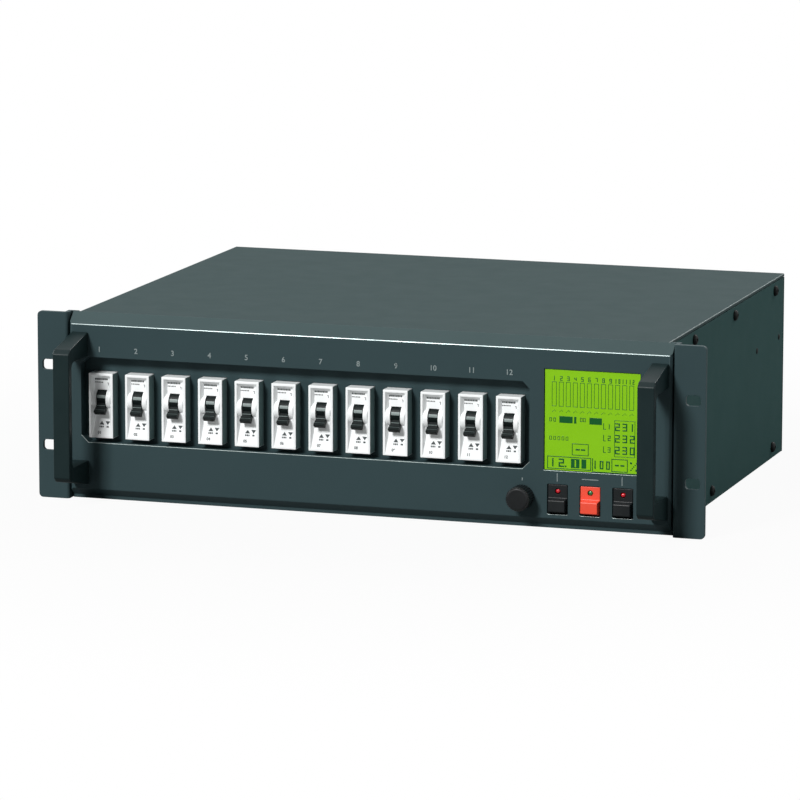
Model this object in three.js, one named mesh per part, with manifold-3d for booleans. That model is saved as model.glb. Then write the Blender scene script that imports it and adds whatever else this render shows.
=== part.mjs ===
// Twelve-channel dimmer pack, a 19-inch rack unit three units high. Millimetres, +Z up.
// It is drawn on the rack plane (Y = 0, front of the ears, Z = 0 at mid-height, +Y to the rear)
// and the last group moves its origin to the middle of the space that it stands on.
import * as THREE from 'three'
import Module from 'manifold-3d'
import { mergeVertices } from 'three/addons/utils/BufferGeometryUtils.js'

// Rack and case
const rackWidth = 482.6
const rackHeight = 132.5
const caseDepth = 334
const caseTopDrop = 0.35
const sheetThickness = 2
const coverThickness = 2.4
const flangeHeight = 12
const seatGap = 0.3
const overrun = 2
const fineFacets = 24
const roundFacets = 16
const plainFacets = 12
const smallFacets = 8
const hexFacets = 6

// Front panel, a thick plate with sloped top and bottom edges
const panelEdgeGap = 0.25
const panelOverhang = 4.5
const panelThickness = 9
const slopeDepth = 8.6
const slopeRise = 7.8
const panelEndChamfer = 1.7

// Breaker window and the plate behind it
const windowInset = 8.5
const windowAbove = 11.1
const windowBelow = 3.5
const windowSideMargin = 1.3
const windowDisplayGap = 10.4
const windowCornerCut = 5
const breakerPlateThickness = 1.5
const breakerPlateMargin = 5
const breakerPlateDrop = 3.5

// Circuit breakers
const breakerCount = 12
const breakerWidth = 17.8
const breakerZ = 1.4
const noseHeight = 45.8
const noseProud = 0.6
const shoulderDepth = 24
const shoulderHeight = 84
const shoulderChamfer = 5
const breakerDepth = 66
const rimWidth = 1.6
const recessDepth = 3.2
const recessDraft = 0.6
const domeRadius = 7.2
const domeProud = 0.7
const toggleAxisRise = 5.4
const drumRadius = 6.3
const drumWidth = 6.8
const drumClearance = 0.4
const toggleAxleRadius = 1.4
const toggleAxleReach = 1.5
const leverLength = 6.6
const leverRoot = 3.6
const leverTip = 2.6
const leverWidth = 5.8
const leverRestAngle = 45
const leverSlotDrop = 11.5
const leverSlotDepth = 5.4
const terminalRadius = 3
const terminalDepth = 7
const terminalInset = 9

// Mounting rail, a 35 mm top-hat section
const railHeight = 35
const railDepth = 7.5
const railHatHeight = 27
const railSheet = 1
const railHook = 0.9
const railHookDepth = 3.7
const railEndInset = 1.8
const railBracketWidth = 20
const railBracketSpread = 190
const railBracketFoot = 8

// Display
const displayWidth = 67.8
const displayInset = 21.7
const displayAbove = 13.2
const displayKeyGap = 9.5
const glassInset = 0.8
const glassThickness = 2
const moduleMarginX = 2.1
const moduleMarginZ = 3
const moduleFlangeThickness = 6

// Keys below the display
const keyOpeningWidth = 14.4
const keyOpeningHeight = 20
const keyPitch = 23.05
const keyShift = 1.05
const keyMargin = 3.7
const keyInset = 0.6
const keyThickness = 7.4
const keyRise = 4
const keyDraft = 1
const keyTravel = 2
const keyStemWidth = 4
const keyStemLength = 8
const keyStemDrop = 3
const keySwitchMargin = 3
const lampRadius = 1.7
const lampLift = 5.2
const lampInset = 0.4

// Encoder knob
const knobSpread = 49.1
const knobLift = 0.2
const knobRadius = 8.5
const knobLength = 11.8
const knobGap = 0.8
const knobRibs = 24
const knobRibDepth = 0.45
const knobChamfer = 0.9
const knobWall = 2.4
const shaftRadius = 3
const shaftTail = 4
const bushWall = 1.2
const encoderWidth = 12
const encoderDepth = 6.5

// Control board behind the display, keys and knob
const boardThickness = 1.6
const boardY = 22
const boardKnobMargin = 12.8
const boardTopMargin = 10
const boardBottomMargin = 8
const boardNotchGap = 1.4
const boardStudRadius = 3
const boardStudInset = 3.6

// Handles on the ends of the front panel
const handleInset = 8
const handleWidth = 12
const handleReach = 37.5
const handleDrop = 1
const handleFootInset = 4.1
const handleTaper = 10.4
const handleEnd = 6.7
const handleCornerCut = 3
const handleBar = 6
const handleGapRadius = 4
const handleScrewRadius = 2.4
const handleScrewHead = 4
const handleScrewHeadLength = 3.8
const handleScrewGrip = 4
const handleScrewInset = 8.7

// Rack ears, folded from plate with a joggle that brings them flush with the panel
const earThickness = 3
const earFaceWidth = 22.6
const earPanelGap = 1.2
const earLeg = 33
const earCornerRadius = 3
const earSlotInset = 8.75
const earSlotSpacingZ = 57.15
const earSlotWidth = 10.5
const earSlotHeight = 7.5
const earScrewY = 30
const earScrewSpacing = 45

// Button-head case screws and the small rivets of the right side
const screwRadius = 2
const screwClearance = 0.3
const screwHeadRadius = 3.85
const screwHeadHeight = 2.5
const screwLength = 8
const headEdgeShare = 0.4
const headCrownShare = 0.6
const screwInset = 6.3
const topScrewShares = [0.205, 0.5524, 0.9178]
const bottomScrewShares = [0.3654, 0.9107]
const rivetShares = [0.7574, 0.9612]
const rivetZ = 21
const rivetHeadRadius = 2.2
const rivetHeadHeight = 0.6
const rivetCrownShare = 0.8

// Corner blocks that join the front and rear panels to the folded flanges
const blockWidth = 10.4
const blockDepth = 14
const blockHeight = 11.5

// Rear panel
const fanInset = 98.7
const fanLift = 4.25
const grilleRadius = 36
const grilleSlots = 9
const grilleSlotHeight = 4.4
const grillePitch = 8

// Fan
const fanSize = 80
const fanDepth = 25
const fanBoreRadius = 38
const fanCornerRadius = 5
const fanHubRadius = 17
const fanCupWall = 1.5
const fanCupDepth = 17
const fanCupInset = 2
const fanTipGap = 1
const fanBlades = 7
const fanBladePitch = 38
const fanBladeThickness = 1.6
const fanBladeChord = 19
const fanStruts = 4
const fanStrutTurn = 45
const fanStrutWidth = 4
const fanStrutThickness = 3
const fanPinRadius = 1.5
const fanPinLength = 8

// Output and data sockets of the rear
const glandSocketPitch = 75
const socketDrop = 12
const socketSpacing = 6
const socketWidth = 94
const socketHeight = 44
const socketFlange = 4
const socketReach = 18
const socketShellWidth = 80
const socketShellHeight = 34
const socketWall = 3
const socketCavityDepth = 14
const socketInside = 12
const socketContacts = 8
const socketContactPitch = 8
const socketContactSize = 3
const socketContactDepth = 6
const socketRowSpacing = 12
const socketDataPitch = 67
const dataFlangeWidth = 26
const dataFlangeHeight = 31
const dataFlangeThickness = 2.2
const dataBarrelRadius = 11.6
const dataInside = 18
const dataRingRadius = 9.3
const dataCoreRadius = 7.6
const dataCoreDepth = 11
const dataPins = 5
const dataPinRadius = 1.2
const dataPinCircle = 4.6
const dataPinInset = 2

// Mains cable gland
const glandInset = 28.7
const glandZ = 8
const glandBoreRadius = 8
const glandThreadRadius = 12
const glandDomeRadius = 14
const glandHexRadius = 16.5
const glandHexLength = 7
const glandDomeLength = 13
const glandNutLength = 5
const glandInside = 12

// Heat sink with its triac modules
const sinkWidth = 170
const sinkFanGap = 12.7
const sinkChokeGap = 8
const sinkHeight = 52
const sinkBase = 8
const sinkFins = 15
const sinkFinThickness = 2.4
const triacRows = 2
const triacColumns = 6
const triacWidth = 22
const triacSpacing = 14
const triacHeight = 13
const triacTab = 9

// Filter chokes
const chokeRows = 2
const chokeColumns = 6
const chokeSpacing = 6
const chokeBore = 9
const chokeHeight = 24
const chokePitchY = 50
const chokeMargin = 2.7
const chokeDriverGap = 9
const chokeRailGap = 1.2
const chokeRound = 5
const chokeBoardThickness = 3

// Supply and drive parts on the right
const transformerMargin = 15.7
const transformerRearGap = 40.7
const coreWidth = 66
const coreDepth = 24
const coreHeight = 55
const coilWidth = 40
const coilDepth = 46
const coilHeight = 34
const driverMargin = 13.7
const driverRailGap = 36.5
const driverTransformerGap = 20
const driverWidth = 80
const driverLift = 12
const driverStudInset = 6
const driverHeaders = 6
const driverHeaderSize = 9
const driverHeaderHeight = 11
const terminalWays = 5
const terminalWayWidth = 12
const terminalBlockDepth = 26
const terminalBlockHeight = 24
const terminalGroove = 2

// Air inlet of the left side
const ventColumns = 9
const ventRows = 2
const ventPitch = 12
const ventRowPitch = 38
const ventWidth = 4
const ventHeight = 30
const ventRearInset = 91.7
const ventZ = -12

// Planes of the case that several pieces share
const panelWidth = rackWidth - 2 * (earFaceWidth + earPanelGap)
const panelHeight = rackHeight - 2 * panelEdgeGap
const caseWidth = panelWidth - 2 * panelOverhang
const topZ = rackHeight / 2 - caseTopDrop
const baseZ = -rackHeight / 2
const coverUnder = topZ - coverThickness
const trayTop = baseZ + sheetThickness
const behindPanel = panelThickness + seatGap
const sideInner = caseWidth / 2 - sheetThickness
const flangeOuter = sideInner - seatGap
const flangeInner = flangeOuter - sheetThickness
const rearInner = caseDepth - sheetThickness
const rearSeat = rearInner - seatGap
const topScrewZ = coverUnder - screwInset
const bottomScrewZ = trayTop + screwInset

// Layout of the front: breakers in their window at the left, display, keys and knob at the right
const faceHalf = panelHeight / 2 - slopeRise
const windowWidth = panelWidth - windowInset - windowDisplayGap - displayWidth - displayInset
const windowHeight = noseHeight + windowAbove + windowBelow
const windowX = windowInset + (windowWidth - panelWidth) / 2
const windowZ = breakerZ + (windowAbove - windowBelow) / 2
const breakerPitch = (windowWidth - 2 * windowSideMargin) / breakerCount
const firstBreakerX = windowX - breakerPitch * (breakerCount - 1) / 2
const toggleY = domeRadius - domeProud - noseProud
const toggleZ = breakerZ + toggleAxisRise
const displayHeight = 2 * faceHalf - displayAbove - displayKeyGap - keyOpeningHeight - keyMargin
const displayX = (panelWidth - displayWidth) / 2 - displayInset
const displayZ = faceHalf - displayAbove - displayHeight / 2
const moduleFlangeWidth = displayWidth + 2 * moduleMarginX
const moduleFlangeHeight = displayHeight + 2 * moduleMarginZ
const keyX = displayX - keyShift
const keyZ = keyMargin + keyOpeningHeight / 2 - faceHalf
const knobX = displayX - knobSpread
const knobZ = keyZ + knobLift
const boardLeft = displayX - moduleFlangeWidth / 2
const boardRight = displayX + moduleFlangeWidth / 2
const boardKnobLeft = knobX - boardKnobMargin
const boardTop = panelHeight / 2 - boardTopMargin
const boardBottom = boardBottomMargin - panelHeight / 2
const boardNotchZ = breakerZ - shoulderHeight / 2 - boardNotchGap
const handleX = panelWidth / 2 - handleInset
const handleFootHeight = 2 * (faceHalf - handleFootInset)
const handleFrontHeight = handleFootHeight - 2 * handleTaper
const handleGapHeight = handleFrontHeight - 2 * handleEnd

// Layout of the rear and the inside
const fanX = fanInset - flangeInner
const fanZ = trayTop + fanLift + fanSize / 2
const fanNear = rearSeat - fanDepth
const glandX = flangeInner - glandInset
const socketX = glandX - glandSocketPitch
const dataSocketX = socketX - socketDataPitch
const upperSocketZ = coverUnder - socketDrop - socketHeight / 2
const socketZs = [upperSocketZ, upperSocketZ - socketHeight - socketSpacing]
const railFront = breakerDepth - railHookDepth - railSheet - seatGap
const railBack = railFront + railDepth
const transformerX = flangeInner - transformerMargin - coreWidth / 2
const transformerY = rearSeat - transformerRearGap - coilDepth / 2
const driverX = flangeInner - driverMargin - driverWidth / 2
const driverFront = railBack + driverRailGap
const driverDepth = transformerY - coilDepth / 2 - driverTransformerGap - driverFront
const driverY = driverFront + driverDepth / 2
const chokeLeft = chokeMargin - flangeInner
const chokeRight = driverX - driverWidth / 2 - chokeDriverGap
const chokePitchX = (chokeRight - chokeLeft) / chokeColumns
const chokeRadius = (chokePitchX - chokeSpacing) / 2
const chokeX = (chokeLeft + chokeRight) / 2
const chokeFront = railBack + seatGap + railBracketFoot + chokeRailGap
const chokeY = chokeFront + chokeRows * chokePitchY / 2
const sinkY = chokeFront + chokeRows * chokePitchY + sinkChokeGap
const sinkDepth = fanNear - sinkFanGap - sinkY
const triacDepth = sinkDepth / triacRows - triacSpacing
const terminalBlockX = (fanX + sinkWidth / 2 + transformerX - coreWidth / 2) / 2
const ventY = rearSeat - ventRearInset

const wasm = await Module()
wasm.setup()

// A closed solid from a geometry: shared corners are merged and flat slivers at the poles are dropped.
function solid(geometry) {
  const bare = geometry.clone()
  bare.deleteAttribute('normal')
  bare.deleteAttribute('uv')
  const merged = mergeVertices(bare)
  const corners = merged.index.array
  const kept = []
  for (let i = 0; i < corners.length; i += 3) {
    const [a, b, c] = [corners[i], corners[i + 1], corners[i + 2]]
    if (a !== b && b !== c && c !== a) kept.push(a, b, c)
  }
  const vertProperties = new Float32Array(merged.attributes.position.array)
  return new wasm.Manifold(new wasm.Mesh({ numProp: 3, vertProperties, triVerts: new Uint32Array(kept) }))
}

function geometryOf(body) {
  const mesh = body.getMesh()
  const geometry = new THREE.BufferGeometry()
  geometry.setAttribute('position', new THREE.BufferAttribute(mesh.vertProperties, 3))
  geometry.setIndex(new THREE.BufferAttribute(mesh.triVerts, 1))
  geometry.computeVertexNormals()
  return geometry
}

function join(bodies) {
  return bodies.reduce((whole, body) => whole.add(body))
}

function cut(body, tools) {
  return tools.reduce((rest, tool) => rest.subtract(tool), body)
}

// Outlines
function outline(points) {
  return new THREE.Shape(points.map(([x, y]) => new THREE.Vector2(x, y)))
}

function rectangle(width, height, x = 0, y = 0) {
  const [w, h] = [width / 2, height / 2]
  return outline([[x - w, y - h], [x + w, y - h], [x + w, y + h], [x - w, y + h]])
}

function band(x0, x1, y0, y1) {
  return outline([[x0, y0], [x1, y0], [x1, y1], [x0, y1]])
}

function cutCornerRectangle(width, height, corner, x = 0, y = 0) {
  const [w, h] = [width / 2, height / 2]
  return outline([
    [x - w + corner, y - h], [x + w - corner, y - h], [x + w, y - h + corner], [x + w, y + h - corner],
    [x + w - corner, y + h], [x - w + corner, y + h], [x - w, y + h - corner], [x - w, y - h + corner],
  ])
}

function polygon(radius, sides, x = 0, y = 0, turn = 0) {
  const points = []
  for (let i = 0; i < sides; i++) {
    const angle = turn + 2 * Math.PI * i / sides
    points.push([x + radius * Math.cos(angle), y + radius * Math.sin(angle)])
  }
  return outline(points)
}

function roundRectangle(width, height, radius, x = 0, y = 0, steps = 3) {
  const points = []
  const centres = [[1, 1, 0], [-1, 1, 1], [-1, -1, 2], [1, -1, 3]]
  for (const [sx, sy, quarter] of centres) {
    const cx = x + sx * (width / 2 - radius)
    const cy = y + sy * (height / 2 - radius)
    for (let i = 0; i <= steps; i++) {
      const angle = (quarter + i / steps) * Math.PI / 2
      points.push([cx + radius * Math.cos(angle), cy + radius * Math.sin(angle)])
    }
  }
  return outline(points)
}

// Prisms along each axis: a Y prism is drawn in X and Z, an X prism in Y and Z, a Z prism in X and Y.
function prism(shape, length) {
  return new THREE.ExtrudeGeometry(shape, { depth: length, bevelEnabled: false })
}

function alongY(shape, near, far) {
  return solid(prism(shape, far - near).rotateX(Math.PI / 2).translate(0, far, 0))
}

function alongX(shape, left, right) {
  const turn = new THREE.Matrix4().makeBasis(
    new THREE.Vector3(0, 1, 0), new THREE.Vector3(0, 0, 1), new THREE.Vector3(1, 0, 0))
  return solid(prism(shape, right - left).applyMatrix4(turn).translate(left, 0, 0))
}

function alongZ(shape, low, high) {
  return solid(prism(shape, high - low).translate(0, 0, low))
}

// A turned piece: pairs of radius and place along the axis, which starts out as Y.
function turned(profile, facets = roundFacets) {
  const points = profile.map(([radius, along]) => new THREE.Vector2(radius, along))
  return solid(new THREE.LatheGeometry(points, facets))
}

function rod(radius, near, far, x, z, facets = roundFacets) {
  return alongY(polygon(radius, facets, x, z), near, far)
}

function mirrorX(body) {
  return body.scale([-1, 1, 1])
}

// Materials
function finish(color, roughness, metalness = 0) {
  return () => new THREE.MeshStandardMaterial({ color, roughness, metalness })
}
const slatePaint = finish(0x38464a, 0.55)
const coverPaint = finish(0x46565a, 0.6)
const blackMetal = finish(0x14191b, 0.4, 0.4)
const blackPlastic = finish(0x15181a, 0.5)
const whitePlastic = finish(0xdadddd, 0.4)
const keyPlastic = finish(0x1a2022, 0.45)
const redPlastic = finish(0xe24a32, 0.4)
const redLamp = finish(0xd0202a, 0.25)
const greenLamp = finish(0x1c7a3c, 0.25)
const displayGreen = finish(0x8fc814, 0.25)
const boardGreen = finish(0x1e5a3a, 0.6)
const bareSteel = finish(0xa8acae, 0.35, 0.9)
const bareAluminium = finish(0xb4b8ba, 0.45, 0.9)
const copperWire = finish(0xa5552c, 0.4, 0.6)
const greyPlastic = finish(0x6c7478, 0.5)

const pack = new THREE.Group()

function add(name, body, material) {
  const mesh = new THREE.Mesh(geometryOf(body), material())
  mesh.name = name
  pack.add(mesh)
  return mesh
}

// Front panel: sloped plate, its ends chamfered, with the openings of the breakers, display, keys and knob
function panelBlank() {
  const half = panelHeight / 2
  const face = half - slopeRise
  const section = outline([
    [0, -face], [slopeDepth, -half], [panelThickness, -half],
    [panelThickness, half], [slopeDepth, half], [0, face],
  ])
  const w = panelWidth / 2
  const plan = outline([
    [-w, panelEndChamfer], [-w + panelEndChamfer, 0], [w - panelEndChamfer, 0],
    [w, panelEndChamfer], [w, panelThickness], [-w, panelThickness],
  ])
  return alongX(section, -w, w).intersect(alongZ(plan, -half, half))
}

const keyXs = [-1, 0, 1].map((step) => keyX + step * keyPitch)
const handleScrewZs = [-1, 1].map((side) => side * (handleFootHeight / 2 - handleScrewInset) - handleDrop)
const boardStuds = [
  [boardLeft + boardStudInset, boardTop - boardStudInset],
  [boardRight - boardStudInset, boardTop - boardStudInset],
  [boardKnobLeft + boardStudInset, boardBottom + boardStudInset],
  [boardRight - boardStudInset, boardBottom + boardStudInset],
]

function frontPanel() {
  const window = cutCornerRectangle(windowWidth, windowHeight, windowCornerCut, windowX, windowZ)
  const openings = [
    window,
    rectangle(displayWidth, displayHeight, displayX, displayZ),
    ...keyXs.map((x) => rectangle(keyOpeningWidth, keyOpeningHeight, x, keyZ)),
    polygon(shaftRadius + bushWall + 2 * seatGap, smallFacets, knobX, knobZ),
  ].map((shape) => alongY(shape, -overrun, panelThickness + overrun))
  const headTop = panelThickness - seatGap - handleScrewHeadLength
  for (const x of [-handleX, handleX]) {
    for (const z of handleScrewZs) {
      openings.push(rod(handleScrewRadius + seatGap, -overrun, panelThickness, x, z, smallFacets))
      const headRadius = handleScrewHead + seatGap
      openings.push(rod(headRadius, headTop - seatGap, panelThickness + overrun, x, z, smallFacets))
    }
  }
  const studs = boardStuds.map(([x, z]) => {
    return rod(boardStudRadius, panelThickness - seatGap, boardY - seatGap, x, z, smallFacets)
  })
  return join([cut(panelBlank(), openings), ...studs])
}
add('front_panel', frontPanel(), slatePaint)

// Breaker plate: the recessed sub-panel with a hole for each breaker nose
const breakerXs = Array.from({ length: breakerCount }, (_, i) => firstBreakerX + i * breakerPitch)

function breakerPlate() {
  const left = seatGap * 2 - sideInner
  const right = windowX + windowWidth / 2 + breakerPlateMargin
  const low = windowZ - windowHeight / 2 - breakerPlateDrop
  const high = windowZ + windowHeight / 2 + breakerPlateDrop
  const far = behindPanel + breakerPlateThickness
  const holes = breakerXs.map((x) => {
    const shape = rectangle(breakerWidth + 2 * seatGap, noseHeight + 2 * seatGap, x, breakerZ)
    return alongY(shape, behindPanel - overrun, far + overrun)
  })
  return cut(alongY(band(left, right, low, high), behindPanel, far), holes)
}
add('breaker_plate', breakerPlate(), slatePaint)

// Breaker housing, drawn about its own middle: nose, shoulders, rail hooks, sloped label recess, two domed
// cheeks round the toggle, and the terminal screw wells
function breakerHousing() {
  const front = -noseProud
  const nose = noseHeight / 2
  const tall = shoulderHeight / 2
  const notch = railHeight / 2 + seatGap
  const lip = notch - railHook - seatGap
  const notchFloor = breakerDepth - railHookDepth - railSheet - 2 * seatGap
  const hook = breakerDepth - railHookDepth
  const upper = [
    [front, nose], [shoulderDepth, nose], [shoulderDepth, tall - shoulderChamfer],
    [shoulderDepth + shoulderChamfer, tall], [breakerDepth, tall],
    [breakerDepth, lip], [hook, lip], [hook, notch], [notchFloor, notch],
  ]
  const lower = upper.map(([y, z]) => [y, -z]).reverse()
  const side = breakerWidth / 2
  const block = alongX(outline([...upper, ...lower].reverse()), -side, side)
  const inner = side - rimWidth
  const recess = alongX(outline([
    [front - overrun, rimWidth - nose], [front, rimWidth - nose],
    [front + recessDepth, nose - rimWidth - recessDraft], [front, nose - rimWidth],
    [front - overrun, nose - rimWidth],
  ]), -inner, inner)
  const dome = alongX(polygon(domeRadius, fineFacets, toggleY, toggleAxisRise), -inner, inner)
  const pocketRadius = drumRadius + drumClearance
  const slotSide = drumWidth / 2 + seatGap
  const slotFront = front - domeProud - overrun
  const tools = [
    ...[
      polygon(pocketRadius, plainFacets, toggleY, toggleAxisRise),
      band(slotFront, toggleY, toggleAxisRise - pocketRadius, toggleAxisRise + pocketRadius),
      band(slotFront, front + leverSlotDepth, toggleAxisRise - leverSlotDrop, toggleAxisRise),
    ].map((shape) => alongX(shape, -slotSide, slotSide)),
    alongX(polygon(toggleAxleRadius + seatGap, smallFacets, toggleY, toggleAxisRise),
      -slotSide - toggleAxleReach, slotSide + toggleAxleReach),
  ]
  for (const z of [-1, 1].map((end) => end * (tall - terminalInset))) {
    tools.push(rod(terminalRadius, shoulderDepth - overrun, shoulderDepth + terminalDepth, 0, z, hexFacets))
  }
  return cut(join([block.subtract(recess), dome]), tools)
}

// Toggle: a drum on its axle with a tapered lever that points down and forward when off
function breakerToggle() {
  const drum = alongX(polygon(drumRadius, plainFacets), -drumWidth / 2, drumWidth / 2)
  const reach = drumWidth / 2 + toggleAxleReach
  const axle = alongX(polygon(toggleAxleRadius, smallFacets), -reach, reach)
  const tip = drumRadius + leverLength
  const lever = alongX(outline([
    [0, -leverRoot / 2], [tip - leverTip / 4, -leverTip / 2], [tip, 0],
    [tip - leverTip / 4, leverTip / 2], [0, leverRoot / 2],
  ]), -leverWidth / 2, leverWidth / 2)
  const turnDown = 180 + leverRestAngle
  return join([drum, axle, lever.rotate([turnDown, 0, 0])])
}

const housing = geometryOf(breakerHousing())
const toggle = geometryOf(breakerToggle())
breakerXs.forEach((x, i) => {
  const number = String(i + 1).padStart(2, '0')
  const body = new THREE.Mesh(housing, whitePlastic())
  body.name = `breaker_housing_${number}`
  body.position.set(x, 0, breakerZ)
  const lever = new THREE.Mesh(toggle, blackPlastic())
  lever.name = `breaker_toggle_${number}`
  lever.position.set(x, toggleY, toggleZ)
  pack.add(body, lever)
})

// Top-hat rail that the breakers clip on
function mountingRail() {
  const [tall, hat] = [railHeight / 2, railHatHeight / 2]
  const upper = [
    [railFront, tall], [railFront + railSheet, tall], [railFront + railSheet, hat], [railBack, hat],
  ]
  const lower = upper.map(([y, z]) => [y, -z]).reverse()
  const inside = [
    [railFront, -hat + railSheet], [railBack - railSheet, -hat + railSheet],
    [railBack - railSheet, hat - railSheet], [railFront, hat - railSheet],
  ]
  const left = railEndInset - sideInner
  const right = windowX + windowWidth / 2
  return alongX(outline([...upper, ...lower, ...inside].reverse()), left, right).translate([0, 0, breakerZ])
}
add('mounting_rail', mountingRail(), bareSteel)

// Display: glass in its opening and the module that sits behind the panel
function displayModule() {
  const front = glassInset + glassThickness + seatGap
  const tongue = rectangle(displayWidth - 2 * seatGap, displayHeight - 2 * seatGap, displayX, displayZ)
  const flange = rectangle(moduleFlangeWidth, moduleFlangeHeight, displayX, displayZ)
  return join([
    alongY(tongue, front, behindPanel + seatGap),
    alongY(flange, behindPanel, behindPanel + moduleFlangeThickness),
  ])
}
const glassShape = rectangle(displayWidth - 2 * seatGap, displayHeight - 2 * seatGap, displayX, displayZ)
add('display_glass', alongY(glassShape, glassInset, glassInset + glassThickness), displayGreen)
add('display_module', displayModule(), blackMetal)

// Control board, notched round the last breaker
const boardShape = outline([
  [boardKnobLeft, boardBottom], [boardRight, boardBottom], [boardRight, boardTop],
  [boardLeft, boardTop], [boardLeft, boardNotchZ], [boardKnobLeft, boardNotchZ],
])

// Keys: a stepped cap with a lamp hole above, sliding in its opening on a stem in the switch on the board
const keyCapWidth = keyOpeningWidth - 2 * seatGap
const keyCapHeight = keyOpeningHeight - 2 * seatGap
const keyBack = keyInset + keyThickness
const switchFront = keyBack + keyTravel + seatGap

function keyCap() {
  const [w, h] = [keyCapWidth / 2, keyCapHeight / 2]
  const section = outline([
    [keyInset, h], [keyInset, 0], [keyInset - keyRise, -keyDraft], [keyInset - keyRise, keyDraft - h],
    [keyInset, -h], [keyBack, -h], [keyBack, h],
  ])
  const plan = outline([
    [-w, keyInset], [keyDraft - w, keyInset - keyRise], [w - keyDraft, keyInset - keyRise],
    [w, keyInset], [w, keyBack], [-w, keyBack],
  ])
  const stem = rectangle(keyStemWidth, keyStemWidth, 0, -keyStemDrop)
  const cap = alongX(section, -w, w).intersect(alongZ(plan, -h, h))
  const hole = rod(lampRadius + seatGap, -overrun, keyBack + overrun, 0, lampLift, smallFacets)
  return cut(join([cap, alongY(stem, keyBack - seatGap, keyBack + keyStemLength)]), [hole])
}

function keySwitch(x) {
  const body = rectangle(keyCapWidth - keySwitchMargin, keyCapHeight - keySwitchMargin)
  const well = rectangle(keyStemWidth + 2 * seatGap, keyStemWidth + 2 * seatGap, 0, -keyStemDrop)
  const wellEnd = keyBack + keyStemLength + keyTravel + seatGap
  return alongY(body, switchFront, boardY + seatGap).subtract(alongY(well, switchFront - overrun, wellEnd))
    .translate([x, 0, keyZ])
}

function keyLamp(x) {
  const bend = lampRadius / 2
  const profile = [
    [0, lampInset + keyInset], [bend, lampInset + keyInset], [lampRadius, lampInset + keyInset + bend],
    [lampRadius, switchFront - seatGap], [0, switchFront - seatGap],
  ]
  return turned(profile, smallFacets).translate([x, 0, keyZ + lampLift])
}

const keySides = ['left', 'centre', 'right']
keyXs.forEach((x, i) => {
  const isCentre = keySides[i] === 'centre'
  add(`key_${keySides[i]}`, keyCap(), isCentre ? redPlastic : keyPlastic).position.set(x, 0, keyZ)
  add(`key_lamp_${keySides[i]}`, keyLamp(x), isCentre ? greenLamp : redLamp)
})
const board = alongY(boardShape, boardY, boardY + boardThickness)
add('control_board', join([board, ...keyXs.map(keySwitch)]), boardGreen)

// Encoder: ribbed knob with its shaft, and the body with a threaded bush on the board
function knob() {
  const back = -knobGap
  const front = back - knobLength
  const teeth = []
  for (let i = 0; i < knobRibs * 2; i++) {
    const radius = i % 2 ? knobRadius : knobRadius - knobRibDepth
    const angle = Math.PI * i / knobRibs
    teeth.push([radius * Math.cos(angle), radius * Math.sin(angle)])
  }
  const shell = turned([
    [0, front], [knobRadius - knobChamfer, front], [knobRadius, front + knobChamfer],
    [knobRadius, back], [0, back],
  ], knobRibs * 2)
  const hollow = rod(knobRadius - knobWall, back - knobLength / 2, back + overrun, 0, 0)
  const shaft = rod(shaftRadius, front + knobWall, panelThickness + shaftTail, 0, 0, smallFacets)
  return join([alongY(outline(teeth), front, back).intersect(shell).subtract(hollow), shaft])
}

function encoder() {
  const bushFront = knobGap
  const bodyFront = boardY - seatGap - encoderDepth
  const boreEnd = panelThickness + shaftTail + seatGap
  const bore = rod(shaftRadius + seatGap, bushFront - overrun, boreEnd, 0, 0, smallFacets)
  const body = join([
    alongY(rectangle(encoderWidth, encoderWidth), bodyFront, boardY - seatGap),
    rod(shaftRadius + bushWall, bushFront, bodyFront + seatGap, 0, 0, smallFacets),
  ])
  return body.subtract(bore)
}
add('knob', knob(), blackPlastic).position.set(knobX, 0, knobZ)
add('encoder', encoder(), bareSteel).position.set(knobX, 0, knobZ)

// Handles: tapered arms and a flat bar, with the screws that hold them from behind the panel
function handle() {
  const foot = handleFootHeight / 2
  const nose = handleFrontHeight / 2 + handleCornerCut
  const flat = handleFrontHeight / 2
  const gap = handleGapHeight / 2
  const inner = -handleReach + handleBar
  const arc = []
  const steps = 4
  for (let i = 0; i <= steps; i++) {
    const angle = Math.PI / 2 * i / steps
    const run = handleGapRadius * (1 - Math.sin(angle))
    const drop = handleGapRadius * (1 - Math.cos(angle))
    arc.push([inner + run, gap - drop])
  }
  const upper = [
    [-handleReach, flat], [-handleReach + handleCornerCut, nose], [-seatGap, foot], [-seatGap, gap], ...arc,
  ]
  const lower = upper.map(([y, z]) => [y, -z]).reverse()
  const bar = alongX(outline([...upper, ...lower].reverse()), -handleWidth / 2, handleWidth / 2)
  return join([bar, ...handleScrewZs.map((z) => handleScrew(z + handleDrop))])
}

function handleScrew(z) {
  const headEnd = panelThickness - seatGap
  const headStart = headEnd - handleScrewHeadLength
  return join([
    rod(handleScrewRadius, -handleScrewGrip, headEnd, 0, z, smallFacets),
    rod(handleScrewHead, headStart, headEnd, 0, z, smallFacets),
  ])
}
add('handle_left', handle(), blackMetal).position.set(-handleX, 0, -handleDrop)
add('handle_right', handle(), blackMetal).position.set(handleX, 0, -handleDrop)

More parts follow.
